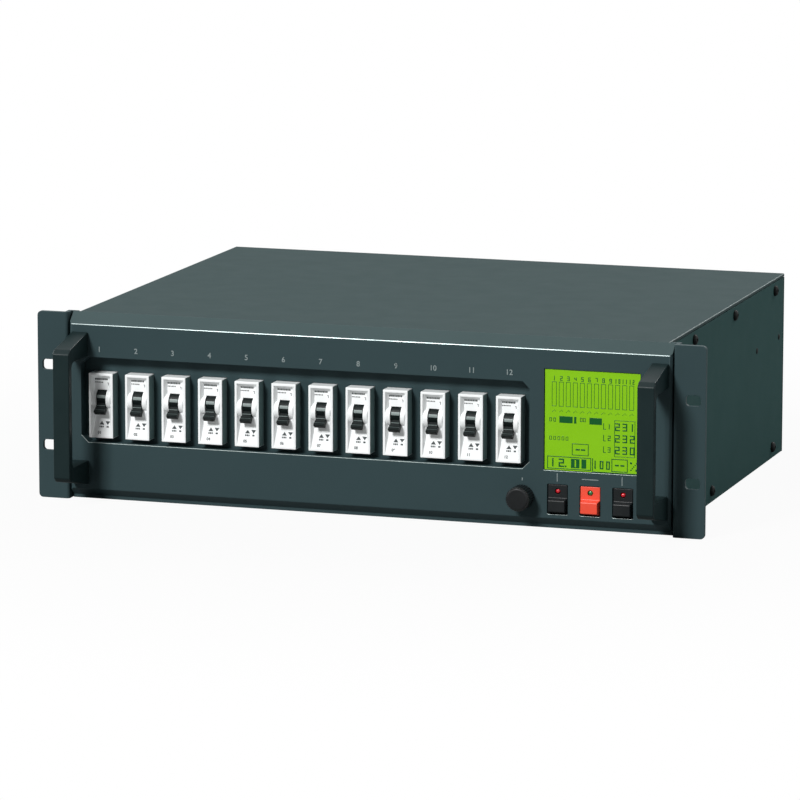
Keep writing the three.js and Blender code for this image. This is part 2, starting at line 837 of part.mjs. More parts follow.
// Rack ears
function rackEar() {
  const outer = rackWidth / 2
  const inner = outer - earFaceWidth
  const leg = caseWidth / 2 + seatGap
  const step = behindPanel + earThickness
  const plan = outline([
    [inner, 0], [outer, 0], [outer, earThickness], [inner + earThickness, earThickness],
    [inner + earThickness, step], [leg + earThickness, step], [leg + earThickness, behindPanel + earLeg],
    [leg, behindPanel + earLeg], [leg, behindPanel], [inner, behindPanel],
  ])
  const half = rackHeight / 2
  const reach = outer - leg + earCornerRadius * 2
  const face = roundRectangle(reach * 2, rackHeight, earCornerRadius, outer - reach, 0)
  const slots = [-1, 1].map((side) => {
    const [x, z] = [outer - earSlotInset, side * earSlotSpacingZ / 2]
    const shape = roundRectangle(earSlotWidth, earSlotHeight, earSlotHeight / 2, x, z, 4)
    return alongY(shape, -overrun, earThickness + overrun)
  })
  const blank = alongZ(plan, -half, half).intersect(alongY(face, -overrun, behindPanel + earLeg + overrun))
  const screws = earScrewPlaces.map(([y, z]) => buttonScrewX(leg + earThickness, y, z))
  return join([cut(blank, slots), ...screws])
}

// Black button-head screw, its seat at zero and its head towards +Y, and the same turned towards +X
function buttonScrew() {
  const [radius, height] = [screwHeadRadius, screwHeadHeight]
  return turned([
    [0, -screwLength], [screwRadius, -screwLength], [screwRadius, 0], [radius, 0],
    [radius, height * headEdgeShare], [radius * headCrownShare, height], [0, height],
  ], smallFacets)
}

function buttonScrewX(x, y, z) {
  return buttonScrew().rotate([0, 0, -90]).translate([x, y, z])
}
const earScrewPlaces = [-1, 0, 1].map((step) => [earScrewY, step * earScrewSpacing])
const rightEar = rackEar()
add('rack_ear_right', rightEar, slatePaint)
add('rack_ear_left', mirrorX(rightEar), slatePaint)

// Case: side panels, cover and base tray with folded flanges, rear panel
const alongSide = (share) => behindPanel + share * (rearSeat - behindPanel)
const sideScrewPlaces = [
  ...topScrewShares.map((share) => [alongSide(share), topScrewZ]),
  ...bottomScrewShares.map((share) => [alongSide(share), bottomScrewZ]),
]

function screwHolesX(places, left, right) {
  return places.map(([y, z]) => alongX(polygon(screwRadius + screwClearance, smallFacets, y, z), left, right))
}

function sidePanel() {
  const outer = sideInner + sheetThickness
  const blank = alongX(band(behindPanel, rearSeat, baseZ, coverUnder - seatGap), sideInner, outer)
  const drilled = cut(blank, screwHolesX(earScrewPlaces, sideInner - overrun, outer + overrun))
  return join([drilled, ...sideScrewPlaces.map(([y, z]) => buttonScrewX(outer, y, z))])
}

function rivet(y) {
  const base = sideInner + sheetThickness - seatGap
  const low = base + seatGap + rivetHeadHeight
  return join([
    alongX(polygon(rivetHeadRadius, smallFacets, y, rivetZ), base, low - rivetHeadHeight / 3),
    alongX(polygon(rivetHeadRadius * rivetCrownShare, smallFacets, y, rivetZ), base, low),
  ])
}

function airInlet() {
  const slots = []
  for (let row = 0; row < ventRows; row++) {
    for (let column = 0; column < ventColumns; column++) {
      const y = ventY + (column - (ventColumns - 1) / 2) * ventPitch
      const z = ventZ + (row - (ventRows - 1) / 2) * ventRowPitch
      slots.push(alongX(rectangle(ventWidth, ventHeight, y, z), sideInner - overrun, caseWidth))
    }
  }
  return slots
}
const plainSide = sidePanel()
add('side_panel_right', join([plainSide, ...rivetShares.map((share) => rivet(alongSide(share)))]), slatePaint)
add('side_panel_left', mirrorX(cut(plainSide, airInlet())), slatePaint)

function flanges(low, high) {
  const right = alongX(band(behindPanel, rearSeat, low, high), flangeInner, flangeOuter)
  const places = [...sideScrewPlaces, ...earScrewPlaces]
  const drilled = cut(right, screwHolesX(places, flangeInner - overrun, flangeOuter + overrun))
  return [drilled, mirrorX(drilled)]
}

// Tapped corner blocks behind the front panel and before the rear panel, one pair on each flange
function cornerBlocks(end) {
  const inner = flangeInner - blockWidth
  const seat = end > 0 ? coverUnder + seatGap : trayTop - seatGap
  const shape = band(inner, flangeInner + seatGap, Math.min(seat, seat - end * blockHeight),
    Math.max(seat, seat - end * blockHeight))
  const tapZ = end > 0 ? topScrewZ : bottomScrewZ
  const tap = polygon(screwRadius + screwClearance, smallFacets, rearScrewX, tapZ)
  const right = [behindPanel, rearSeat - blockDepth].map((near) => {
    const far = near + blockDepth
    return alongY(shape, near, far).subtract(alongY(tap, near - overrun, far + overrun))
  })
  return [...right, ...right.map(mirrorX)]
}

function topCover() {
  const plate = alongZ(band(-caseWidth / 2, caseWidth / 2, behindPanel, caseDepth), coverUnder, topZ)
  return join([plate, ...flanges(coverUnder - flangeHeight, coverUnder + seatGap), ...cornerBlocks(1)])
}

function railBracket(x) {
  const front = railBack + seatGap
  const section = outline([
    [front, baseZ + seatGap], [front + railBracketFoot, baseZ + seatGap],
    [front + railBracketFoot, trayTop + sheetThickness], [front + sheetThickness, trayTop + sheetThickness],
    [front + sheetThickness, breakerZ + railHatHeight / 2], [front, breakerZ + railHatHeight / 2],
  ])
  return alongX(section, x - railBracketWidth / 2, x + railBracketWidth / 2)
}

const driverStuds = [-1, 1].flatMap((sx) => [-1, 1].map((sy) => [
  driverX + sx * (driverWidth / 2 - driverStudInset), driverY + sy * (driverDepth / 2 - driverStudInset),
]))

function baseTray() {
  const plate = alongZ(band(-flangeOuter, flangeOuter, behindPanel, rearSeat), baseZ, trayTop)
  const studs = driverStuds.map(([x, y]) => {
    return alongZ(polygon(boardStudRadius, smallFacets, x, y), baseZ + seatGap, trayTop + driverLift)
  })
  const brackets = [-1, 1].map((side) => railBracket(windowX + side * railBracketSpread / 2))
  return join([plate, ...flanges(baseZ, trayTop + flangeHeight), ...cornerBlocks(-1), ...brackets, ...studs])
}
const rearScrewX = flangeInner - blockWidth / 2
add('top_cover', topCover(), coverPaint)
add('base_tray', baseTray(), slatePaint)

const rearScrewPlaces = [-1, 1].flatMap((sx) => [bottomScrewZ, topScrewZ].map((z) => [sx * rearScrewX, z]))

function grille() {
  const slots = []
  for (let i = 0; i < grilleSlots; i++) {
    const offset = (i - (grilleSlots - 1) / 2) * grillePitch
    const half = Math.sqrt(grilleRadius ** 2 - offset ** 2)
    slots.push(cutCornerRectangle(half * 2, grilleSlotHeight, grilleSlotHeight / 4, fanX, fanZ + offset))
  }
  return slots
}

function rearPanel() {
  const holes = [
    ...grille(),
    ...socketZs.map((z) => rectangle(socketShellWidth, socketShellHeight, socketX, z)),
    ...socketZs.map((z) => polygon(dataBarrelRadius + seatGap, roundFacets, dataSocketX, z)),
    polygon(glandThreadRadius + seatGap, roundFacets, glandX, glandZ),
  ].map((shape) => alongY(shape, rearInner - overrun, caseDepth + overrun))
  const sheet = band(-caseWidth / 2, caseWidth / 2, baseZ, coverUnder - seatGap)
  const screws = rearScrewPlaces.map(([x, z]) => buttonScrew().translate([x, caseDepth, z]))
  return join([cut(alongY(sheet, rearInner, caseDepth), holes), ...screws])
}
add('rear_panel', rearPanel(), slatePaint)

// Fan: frame with struts and motor boss, and the bladed rotor turning round the boss
function fanFrame() {
  const ring = alongY(roundRectangle(fanSize, fanSize, fanCornerRadius), fanNear, rearSeat)
    .subtract(rod(fanBoreRadius, fanNear - overrun, rearSeat + overrun, 0, 0, fineFacets))
  const strutNear = rearSeat - fanStrutThickness
  const bossRadius = fanHubRadius - fanCupWall - seatGap
  const struts = Array.from({ length: fanStruts }, (_, i) => {
    const arm = band(0, fanBoreRadius + overrun, -fanStrutWidth / 2, fanStrutWidth / 2)
    return alongY(arm, strutNear, rearSeat).rotate([0, fanStrutTurn + 360 * i / fanStruts, 0])
  })
  const cupFront = fanNear + fanCupInset
  const cupBack = cupFront + fanCupDepth
  const boss = rod(bossRadius, cupFront + fanCupWall + seatGap, rearSeat, 0, 0)
  const bore = rod(fanPinRadius + seatGap, fanNear, cupFront + fanPinLength + 2 * seatGap, 0, 0, smallFacets)
  const rim = rod(fanHubRadius, cupBack + seatGap * 2, rearSeat, 0, 0)
  return join([ring, boss, rim, ...struts]).subtract(bore)
}

function fanBlade() {
  const chord = fanBladeChord / 2
  const arc = []
  const steps = 4
  for (let i = 0; i <= steps; i++) {
    const share = 2 * i / steps - 1
    arc.push([share * chord, fanBladeThickness * (1 - share * share)])
  }
  const back = arc.map(([x, y]) => [x, y - fanBladeThickness]).reverse()
  const inner = fanHubRadius - fanCupWall / 2
  const blade = alongX(outline([...arc, ...back].reverse()), inner, fanBoreRadius)
  return blade.rotate([fanBladePitch, 0, 0])
}

function fanRotor() {
  const near = fanNear + fanCupInset
  const cup = turned([
    [0, near], [fanHubRadius - fanCupWall, near], [fanHubRadius, near + fanCupWall],
    [fanHubRadius, near + fanCupDepth], [fanHubRadius - fanCupWall, near + fanCupDepth],
    [fanHubRadius - fanCupWall, near + fanCupWall], [0, near + fanCupWall],
  ], fineFacets)
  const pin = rod(fanPinRadius, near + fanCupWall / 2, near + fanPinLength, 0, 0, smallFacets)
  const blade = fanBlade()
  const middle = near + fanCupDepth / 2
  const blades = Array.from({ length: fanBlades }, (_, i) => {
    return blade.rotate([0, 360 * i / fanBlades, 0]).translate([0, middle, 0])
  })
  const tipRadius = fanBoreRadius - fanTipGap
  const sweep = rod(tipRadius, near, near + fanCupDepth, 0, 0, fineFacets)
  return join([cup, pin, ...blades]).intersect(sweep)
}
add('fan_frame', fanFrame(), blackPlastic).position.set(fanX, 0, fanZ)
add('fan_rotor', fanRotor(), blackPlastic).position.set(fanX, 0, fanZ)

// Multipole output sockets: flange and shell outside, contact block with two rows of contact wells inside
function outputSocket() {
  const seat = caseDepth + seatGap
  const end = caseDepth + socketReach
  const clear = 2 * seatGap
  const throughHole = rectangle(socketShellWidth - clear, socketShellHeight - clear)
  const shell = join([
    alongY(rectangle(socketWidth, socketHeight), seat, seat + socketFlange),
    alongY(rectangle(socketShellWidth, socketShellHeight), seat, end),
    alongY(throughHole, rearInner - socketInside, seat + clear),
  ])
  const cavity = rectangle(socketShellWidth - 2 * socketWall, socketShellHeight - 2 * socketWall)
  const floor = end - socketCavityDepth
  const wells = []
  for (let i = 0; i < socketContacts; i++) {
    for (const row of [-1, 1]) {
      const wellX = (i - (socketContacts - 1) / 2) * socketContactPitch
      const well = rectangle(socketContactSize, socketContactSize, wellX, row * socketRowSpacing / 2)
      wells.push(alongY(well, floor - socketContactDepth, floor + overrun))
    }
  }
  return cut(shell, [alongY(cavity, floor, end + overrun), ...wells])
}
socketZs.forEach((z, i) => {
  add(`output_socket_${i + 1}`, outputSocket(), greyPlastic).position.set(socketX, 0, z)
})

// Round five-pole data sockets: the first with pins in an open cup, the second with contact wells in its core
const dataFace = caseDepth + seatGap + dataFlangeThickness
const dataFloor = dataFace - dataCoreDepth

function dataShell() {
  const seat = caseDepth + seatGap
  return join([
    alongY(roundRectangle(dataFlangeWidth, dataFlangeHeight, dataFlangeThickness), seat, dataFace),
    rod(dataBarrelRadius, rearInner - dataInside, seat + seatGap, 0, 0),
  ])
}

function dataContacts(near, far) {
  return Array.from({ length: dataPins }, (_, i) => {
    const angle = 2 * Math.PI * (i + 1) / (dataPins + 1) - Math.PI / 2
    const [x, z] = [dataPinCircle * Math.cos(angle), dataPinCircle * Math.sin(angle)]
    return rod(dataPinRadius, near, far, x, z, smallFacets)
  })
}

function dataCup() {
  return dataShell().subtract(rod(dataRingRadius, dataFloor, dataFace + overrun, 0, 0))
}

function dataInlet() {
  return join([dataCup(), ...dataContacts(dataFloor - seatGap, dataFace - dataPinInset)])
}

function dataOutlet() {
  const core = rod(dataCoreRadius, dataFloor - seatGap, dataFace, 0, 0)
  return cut(join([dataCup(), core]), dataContacts(dataFloor, dataFace + overrun))
}
add('data_inlet', dataInlet(), blackMetal).position.set(dataSocketX, 0, socketZs[0])
add('data_outlet', dataOutlet(), blackMetal).position.set(dataSocketX, 0, socketZs[1])

// Cable gland for the mains lead, with its lock nut inside
function mainsGland() {
  const seat = caseDepth + seatGap
  const hexEnd = seat + glandHexLength
  const domeEnd = hexEnd + glandDomeLength
  const lip = glandBoreRadius + (glandThreadRadius - glandBoreRadius) / 2
  const dome = turned([
    [glandBoreRadius, hexEnd - seatGap], [glandDomeRadius, hexEnd - seatGap],
    [glandDomeRadius, domeEnd - glandDomeLength / 3], [glandThreadRadius, domeEnd - glandDomeLength / 8],
    [lip, domeEnd], [glandBoreRadius, domeEnd], [glandBoreRadius, hexEnd - seatGap],
  ])
  const hexagon = alongY(polygon(glandHexRadius, hexFacets), seat, hexEnd)
  const thread = rod(glandThreadRadius, rearInner - glandInside, seat + seatGap, 0, 0)
  const bore = rod(glandBoreRadius, rearInner - glandInside - overrun, hexEnd + overrun, 0, 0)
  const body = join([hexagon, thread]).subtract(bore)
  const nut = alongY(polygon(glandHexRadius, hexFacets), rearSeat - glandNutLength, rearSeat)
    .subtract(rod(glandThreadRadius - seatGap, rearSeat - glandNutLength - overrun, rearSeat + overrun, 0, 0))
  return join([body, dome, nut]).translate([glandX, 0, glandZ])
}
add('mains_gland', mainsGland(), blackPlastic)

// Heat sink: base plate on top of fins that stand on the tray, in line with the fan
function heatSink() {
  const floor = trayTop + seatGap
  const top = floor + sinkHeight
  const plate = band(-sinkWidth / 2, sinkWidth / 2, top - sinkBase, top)
  const fins = Array.from({ length: sinkFins }, (_, i) => {
    const x = (i / (sinkFins - 1) - 1 / 2) * (sinkWidth - sinkFinThickness)
    const fin = band(x - sinkFinThickness / 2, x + sinkFinThickness / 2, floor, top - sinkBase / 2)
    return alongY(fin, sinkY, sinkY + sinkDepth)
  })
  return join([alongY(plate, sinkY, sinkY + sinkDepth), ...fins]).translate([fanX, 0, 0])
}
add('heat_sink', heatSink(), bareAluminium)

// Triacs: one package for each channel, clamped to the sink and soldered under one board
function triacBoard() {
  const seat = trayTop + seatGap + sinkHeight + seatGap
  const top = seat + triacHeight
  const plate = band(fanX - sinkWidth / 2, fanX + sinkWidth / 2, sinkY, sinkY + sinkDepth)
  const modules = [alongZ(plate, top - seatGap, top + boardThickness)]
  for (let row = 0; row < triacRows; row++) {
    for (let column = 0; column < triacColumns; column++) {
      const x = fanX + (column - (triacColumns - 1) / 2) * sinkWidth / triacColumns
      const y = sinkY + (row + 1 / 2) * sinkDepth / triacRows
      const section = outline([
        [-triacDepth / 2, 0], [triacDepth / 2, 0], [triacDepth / 2, triacHeight / 2],
        [triacDepth / 2 - triacTab, triacHeight / 2], [triacDepth / 2 - triacTab, triacHeight],
        [-triacDepth / 2, triacHeight],
      ])
      modules.push(alongX(section, -triacWidth / 2, triacWidth / 2).translate([x, y, seat]))
    }
  }
  return join(modules)
}
add('triac_board', triacBoard(), boardGreen)

// Filter chokes: one wound ring for each channel, bedded on one board that lies on the tray
function chokeBoard() {
  const [outer, bore, round] = [chokeRadius, chokeBore, chokeRound]
  const ring = turned([
    [bore, 0], [outer - round, 0], [outer, round], [outer, chokeHeight - round],
    [outer - round, chokeHeight], [bore, chokeHeight], [bore, 0],
  ], smallFacets).rotate([90, 0, 0])
  const width = chokeColumns * chokePitchX
  const floor = trayTop + seatGap
  const plate = rectangle(width, chokeRows * chokePitchY, chokeX, chokeY)
  const rings = [alongZ(plate, floor, floor + chokeBoardThickness)]
  for (let row = 0; row < chokeRows; row++) {
    for (let column = 0; column < chokeColumns; column++) {
      const x = chokeX + (column - (chokeColumns - 1) / 2) * chokePitchX
      const y = chokeY + (row - (chokeRows - 1) / 2) * chokePitchY
      rings.push(ring.translate([x, y, floor + chokeBoardThickness - seatGap]))
    }
  }
  return join(rings)
}
add('choke_board', chokeBoard(), copperWire)

// Supply transformer: laminated core with the coil through its window
function transformer() {
  const floor = trayTop + seatGap
  const plates = rectangle(coreWidth, coreHeight, 0, floor + coreHeight / 2)
  const core = alongY(plates, -coreDepth / 2, coreDepth / 2)
  const coil = roundRectangle(coilWidth, coilHeight, coilHeight / 6, 0, floor + coreHeight / 2)
  return join([core, alongY(coil, -coilDepth / 2, coilDepth / 2)]).translate([transformerX, transformerY, 0])
}
add('transformer', transformer(), bareSteel)

// Driver board on its studs, with a row of channel headers
function driverBoard() {
  const low = trayTop + driverLift + seatGap
  const plate = alongZ(rectangle(driverWidth, driverDepth, driverX, driverY), low, low + boardThickness)
  const headers = Array.from({ length: driverHeaders }, (_, i) => {
    const y = driverY + (i - (driverHeaders - 1) / 2) * driverDepth / (driverHeaders + 1)
    const x = driverX - driverWidth / 2 + driverHeaderSize
    const top = low + boardThickness + driverHeaderHeight
    return alongZ(rectangle(driverHeaderSize, driverHeaderSize, x, y), low + boardThickness / 2, top)
  })
  return join([plate, ...headers])
}
add('driver_board', driverBoard(), boardGreen)

// Mains terminal block: one stepped body with a groove between the ways
function terminalBlock() {
  const floor = trayTop + seatGap
  const width = terminalWays * terminalWayWidth
  const [d, h] = [terminalBlockDepth / 2, terminalBlockHeight]
  const section = outline([[-d, 0], [d, 0], [d, h / 2], [d / 2, h], [-d / 2, h], [-d, h / 2]])
  const block = alongX(section, -width / 2, width / 2)
  const grooves = Array.from({ length: terminalWays - 1 }, (_, i) => {
    const x = (i + 1) * terminalWayWidth - width / 2
    const groove = band(-d - overrun, d + overrun, h / 2, h + overrun)
    return alongX(groove, x - terminalGroove / 2, x + terminalGroove / 2)
  })
  return cut(block, grooves).translate([terminalBlockX, transformerY, floor])
}
add('terminal_block', terminalBlock(), greyPlastic)

// The origin is the middle of the bottom of the whole, from the handles' front to the gland's end
const frontmost = -handleReach
const rearmost = caseDepth + seatGap + glandHexLength + glandDomeLength
const dimmerPack = new THREE.Group()
dimmerPack.add(pack)
pack.position.set(0, -(frontmost + rearmost) / 2, rackHeight / 2)

export default dimmerPack
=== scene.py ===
import math

import bmesh
import bpy
from mathutils import Matrix, Vector


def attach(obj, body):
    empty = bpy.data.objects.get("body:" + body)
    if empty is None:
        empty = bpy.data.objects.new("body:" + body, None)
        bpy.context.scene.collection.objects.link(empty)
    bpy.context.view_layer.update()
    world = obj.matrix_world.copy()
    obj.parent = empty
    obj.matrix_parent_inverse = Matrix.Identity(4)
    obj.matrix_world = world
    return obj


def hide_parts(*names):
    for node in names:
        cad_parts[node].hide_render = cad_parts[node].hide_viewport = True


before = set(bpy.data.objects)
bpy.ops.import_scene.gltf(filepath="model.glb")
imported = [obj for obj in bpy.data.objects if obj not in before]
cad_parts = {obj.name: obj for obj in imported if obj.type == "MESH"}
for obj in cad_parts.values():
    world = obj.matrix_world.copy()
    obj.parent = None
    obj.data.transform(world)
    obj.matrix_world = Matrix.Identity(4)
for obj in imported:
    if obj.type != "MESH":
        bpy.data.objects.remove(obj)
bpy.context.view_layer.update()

# Studio: a pale floor without an edge, a soft lamp high at the left front, a broad lamp overhead and
# weak ones at both sides and behind. The camera stands to the right of the front and looks down ten
# degrees, and the floor and the sky are white to it but dim to the object.
scene = bpy.context.scene
scene.view_settings.view_transform = "Standard"


def tint(red, green, blue):
    """A colour given as it looks on a screen, 0 to 255, as the linear colour of a socket."""
    shares = [value / 255 for value in (red, green, blue)]
    return [s / 12.92 if s < 0.04045 else ((s + 0.055) / 1.055) ** 2.4 for s in shares] + [1]


def add_node(tree, kind, **settings):
    node = tree.nodes.new("ShaderNode" + kind)
    for name, value in settings.items():
        setattr(node, name, value)
    return node


def blank_material(name):
    material = bpy.data.materials.new(name)
    material.use_nodes = True
    material.node_tree.nodes.clear()
    return material, material.node_tree


def seen_white(tree):
    """One for the rays that should meet a white backdrop, nought for the light on the object."""
    path = add_node(tree, "LightPath")
    total = path.outputs["Is Camera Ray"]
    for name in ("Is Glossy Ray", "Is Transmission Ray"):
        step = add_node(tree, "Math", operation="ADD", use_clamp=True)
        tree.links.new(total, step.inputs[0])
        tree.links.new(path.outputs[name], step.inputs[1])
        total = step.outputs[0]
    return total


SKY_TINT, SKY_LEVEL = (0.97, 0.985, 1, 1), 0.035
world = bpy.data.worlds.new("studio")
scene.world = world
world.use_nodes = True
sky = world.node_tree
sky.nodes.clear()
sky_out = add_node(sky, "OutputWorld")
sky_mix = add_node(sky, "MixShader")
sky_light = add_node(sky, "Background")
sky_light.inputs["Color"].default_value = SKY_TINT
sky_light.inputs["Strength"].default_value = SKY_LEVEL
sky_white = add_node(sky, "Background")
sky_white.inputs["Color"].default_value = (1, 1, 1, 1)
sky_white.inputs["Strength"].default_value = 1
sky.links.new(seen_white(sky), sky_mix.inputs[0])
sky.links.new(sky_light.outputs[0], sky_mix.inputs[1])
sky.links.new(sky_white.outputs[0], sky_mix.inputs[2])
sky.links.new(sky_mix.outputs[0], sky_out.inputs["Surface"])

# The floor shows its shadows near the object and fades to plain white further out.
FLOOR_GREY, FLOOR_HALF, FLOOR_DROP = 0.36, 40, 0.0003
FADE_START, FADE_END, NEAR_WHITE = 0.2, 0.75, 0.95
floor_paint, tree = blank_material("studio_floor")
floor_out = add_node(tree, "OutputMaterial")
floor_mix = add_node(tree, "MixShader")
floor_lit = add_node(tree, "BsdfDiffuse")
floor_lit.inputs["Color"].default_value = (FLOOR_GREY, FLOOR_GREY, FLOOR_GREY, 1)
floor_white = add_node(tree, "Emission")
floor_reach = add_node(tree, "VectorMath", operation="LENGTH")
tree.links.new(add_node(tree, "TexCoord").outputs["Object"], floor_reach.inputs[0])
floor_far = add_node(tree, "MapRange", interpolation_type="SMOOTHSTEP")
for socket, number in (("From Min", FADE_START), ("From Max", FADE_END), ("To Min", NEAR_WHITE),
                       ("To Max", 1)):
    floor_far.inputs[socket].default_value = number
tree.links.new(floor_reach.outputs["Value"], floor_far.inputs["Value"])
floor_share = add_node(tree, "Math", operation="MULTIPLY")
tree.links.new(floor_far.outputs["Result"], floor_share.inputs[1])
floor_path = add_node(tree, "LightPath")
tree.links.new(floor_path.outputs["Is Camera Ray"], floor_share.inputs[0])
tree.links.new(floor_share.outputs[0], floor_mix.inputs[0])
tree.links.new(floor_lit.outputs[0], floor_mix.inputs[1])
tree.links.new(floor_white.outputs[0], floor_mix.inputs[2])
tree.links.new(floor_mix.outputs[0], floor_out.inputs["Surface"])

floor_shape = bmesh.new()
bmesh.ops.create_grid(floor_shape, x_segments=1, y_segments=1, size=FLOOR_HALF)
bmesh.ops.translate(floor_shape, vec=(0, 0, -FLOOR_DROP), verts=floor_shape.verts)
floor_mesh = bpy.data.meshes.new("floor")
floor_shape.to_mesh(floor_mesh)
floor_shape.free()
floor_mesh.materials.append(floor_paint)
floor = bpy.data.objects.new("floor", floor_mesh)
scene.collection.objects.link(floor)


def lamp(name, place, aim, size, level):
    """A square lamp; at level 1 it lights a face turned to it so that a colour looks as written."""
    data = bpy.data.lights.new(name, "AREA")
    data.shape = "SQUARE"
    data.size = size
    way = Vector(aim) - Vector(place)
    data.energy = math.pi ** 2 * level * way.length_squared
    thing = bpy.data.objects.new(name, data)
    thing.location = place
    thing.rotation_euler = way.to_track_quat("-Z", "Y").to_euler()
    scene.collection.objects.link(thing)


lamp("key_lamp", (-2.0, -5.5, 4.35), aim=(0, -0.1, 0.05), size=1.6, level=1.04)
lamp("top_lamp", (-0.6, -0.4, 2.6), aim=(0, 0.05, 0.1), size=1.4, level=0.13)
lamp("side_lamp", (3.0, 0.9, 0.9), aim=(0.2, 0, 0.06), size=1.2, level=0.28)
lamp("rear_lamp", (1.2, 3.2, 2.6), aim=(0, 0.15, 0.06), size=1.2, level=0.4)
lamp("left_lamp", (-3.0, 1.2, 1.0), aim=(-0.2, 0, 0.06), size=1.2, level=0.36)

CAMERA_PLACE = (1.1212, -3.5560, 0.71915)
CAMERA_YAW, CAMERA_PITCH, CAMERA_ROLL = (math.radians(a) for a in (17.88, 10.09, 0.07))
camera_data = bpy.data.cameras.new("camera")
camera_data.sensor_width = 36
camera_data.lens = 238.1
camera_data.clip_end = 100
camera = bpy.data.objects.new("camera", camera_data)
camera_turn = (Matrix.Rotation(CAMERA_YAW, 4, "Z") @ Matrix.Rotation(math.pi / 2 - CAMERA_PITCH, 4, "X")
               @ Matrix.Rotation(CAMERA_ROLL, 4, "Z"))
camera.matrix_world = Matrix.Translation(CAMERA_PLACE) @ camera_turn
scene.collection.objects.link(camera)
scene.camera = camera

# Base tray: 2 mm steel sheet folded up at both sides, with welded corner blocks, rail brackets and
# board studs, powder coated slate grey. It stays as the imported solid; only its finish is made here.
CLOUD_SCALE, RUB_SCALE, GLOSS_SCALE = 22, 160, 55


def finish(name, colour, rough=0.5, metal=0.0, specular=0.5, grain=900, depth=0.012, mottle=0.06,
           smudge=0.08, wear=None, wear_share=0.5, soft=0.3, coat=0.0):
    """A finish with fine grain, uneven gloss, edges eased by `soft` mm and, if given, worn edges."""
    material, tree = blank_material(name)
    link = tree.links.new
    out = add_node(tree, "OutputMaterial")
    skin = add_node(tree, "BsdfPrincipled")
    skin.inputs["Metallic"].default_value = metal
    skin.inputs["Specular IOR Level"].default_value = specular
    skin.inputs["Coat Weight"].default_value = coat
    skin.inputs["Coat Roughness"].default_value = 0.12
    link(skin.outputs[0], out.inputs["Surface"])
    where = add_node(tree, "TexCoord").outputs["Object"]

    def noise(scale, detail=3.0, rough_share=0.55):
        node = add_node(tree, "TexNoise")
        node.inputs["Scale"].default_value = scale
        node.inputs["Detail"].default_value = detail
        node.inputs["Roughness"].default_value = rough_share
        link(where, node.inputs["Vector"])
        return node.outputs["Fac"]

    def ranged(value, low, high, start=0.3, end=0.7):
        node = add_node(tree, "MapRange")
        for socket, number in (("From Min", start), ("From Max", end), ("To Min", low), ("To Max", high)):
            node.inputs[socket].default_value = number
        link(value, node.inputs["Value"])
        return node.outputs["Result"]

    def blended(share, first, second):
        node = add_node(tree, "Mix", data_type="RGBA")
        link(share, node.inputs[0])
        for socket, value in ((node.inputs[6], first), (node.inputs[7], second)):
            if isinstance(value, list):
                socket.default_value = value
            else:
                link(value, socket)
        return node.outputs[2]

    lighter = [min(1, c * (1 + mottle)) for c in colour[:3]] + [1]
    darker = [c * (1 - mottle) for c in colour[:3]] + [1]
    cloud = noise(CLOUD_SCALE, 4)
    speck = noise(grain, 2, 0.6)
    tone = blended(ranged(cloud, 0, 1), darker, lighter)
    tone = blended(ranged(speck, 0, 0.5, 0.55, 0.75), tone, lighter)
    rounding = add_node(tree, "Bevel", samples=6)
    rounding.inputs["Radius"].default_value = soft / 1000
    if wear:
        facing = add_node(tree, "VectorMath", operation="DOT_PRODUCT")
        link(rounding.outputs[0], facing.inputs[0])
        link(add_node(tree, "NewGeometry").outputs["Normal"], facing.inputs[1])
        edge = ranged(facing.outputs["Value"], 1, 0, 0.86, 0.995)
        rub = ranged(noise(RUB_SCALE, 4), 0, wear_share, 0.42, 0.62)
        both = add_node(tree, "Math", operation="MULTIPLY")
        link(edge, both.inputs[0])
        link(rub, both.inputs[1])
        tone = blended(both.outputs[0], tone, wear)
    link(tone, skin.inputs["Base Color"])
    link(ranged(noise(GLOSS_SCALE, 5), rough - smudge, rough + smudge), skin.inputs["Roughness"])
    bump = add_node(tree, "Bump")
    bump.inputs["Strength"].default_value = 0.6
    bump.inputs["Distance"].default_value = depth / 1000
    link(speck, bump.inputs["Height"])
    link(rounding.outputs[0], bump.inputs["Normal"])
    link(bump.outputs[0], skin.inputs["Normal"])
    return material


def dress(material, *names):
    for name in names:
        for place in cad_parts[name].material_slots:
            place.material = material


bare_edge = tint(92, 106, 108)
case_paint = finish("case_powder_coat", tint(47, 75, 74), 0.72, specular=0.05, mottle=0.02,
                    smudge=0.03, wear=bare_edge, wear_share=0.35)
dress(case_paint, "base_tray")

# Side panels: flat 2 mm steel sheet, powder coated, held by black button-head screws in the folded
# flanges. The right one has two small rivets, the left one two rows of punched air slots.
MILLIMETRE = 0.001
FRAME_SHIFT = Vector((0, -0.1584, 0.06625))     # the drawing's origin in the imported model


def block(bm, low, high):
    """A box between two corners, in the drawing's millimetres."""
    verts = bmesh.ops.create_cube(bm, size=1)["verts"]
    low, high = Vector(low), Vector(high)
    bmesh.ops.scale(bm, vec=high - low, verts=verts)
    bmesh.ops.translate(bm, vec=(low + high) / 2, verts=verts)
    return verts


def prism(bm, points, axis, near, far):
    """A closed outline pushed along an axis: drawn in Y, Z along X, in X, Z along Y, in X, Y along Z."""
    along = "XYZ".index(axis)
    verts = []
    for first, second in points:
        place = [first, second]
        place.insert(along, near)
        verts.append(bm.verts.new(place))
    pushed = bmesh.ops.extrude_face_region(bm, geom=[bm.faces.new(verts)], use_keep_orig=True)["geom"]
    top = [v for v in pushed if isinstance(v, bmesh.types.BMVert)]
    way = Vector((0, 0, 0))
    way[along] = far - near
    bmesh.ops.translate(bm, vec=way, verts=top)
    return verts + top


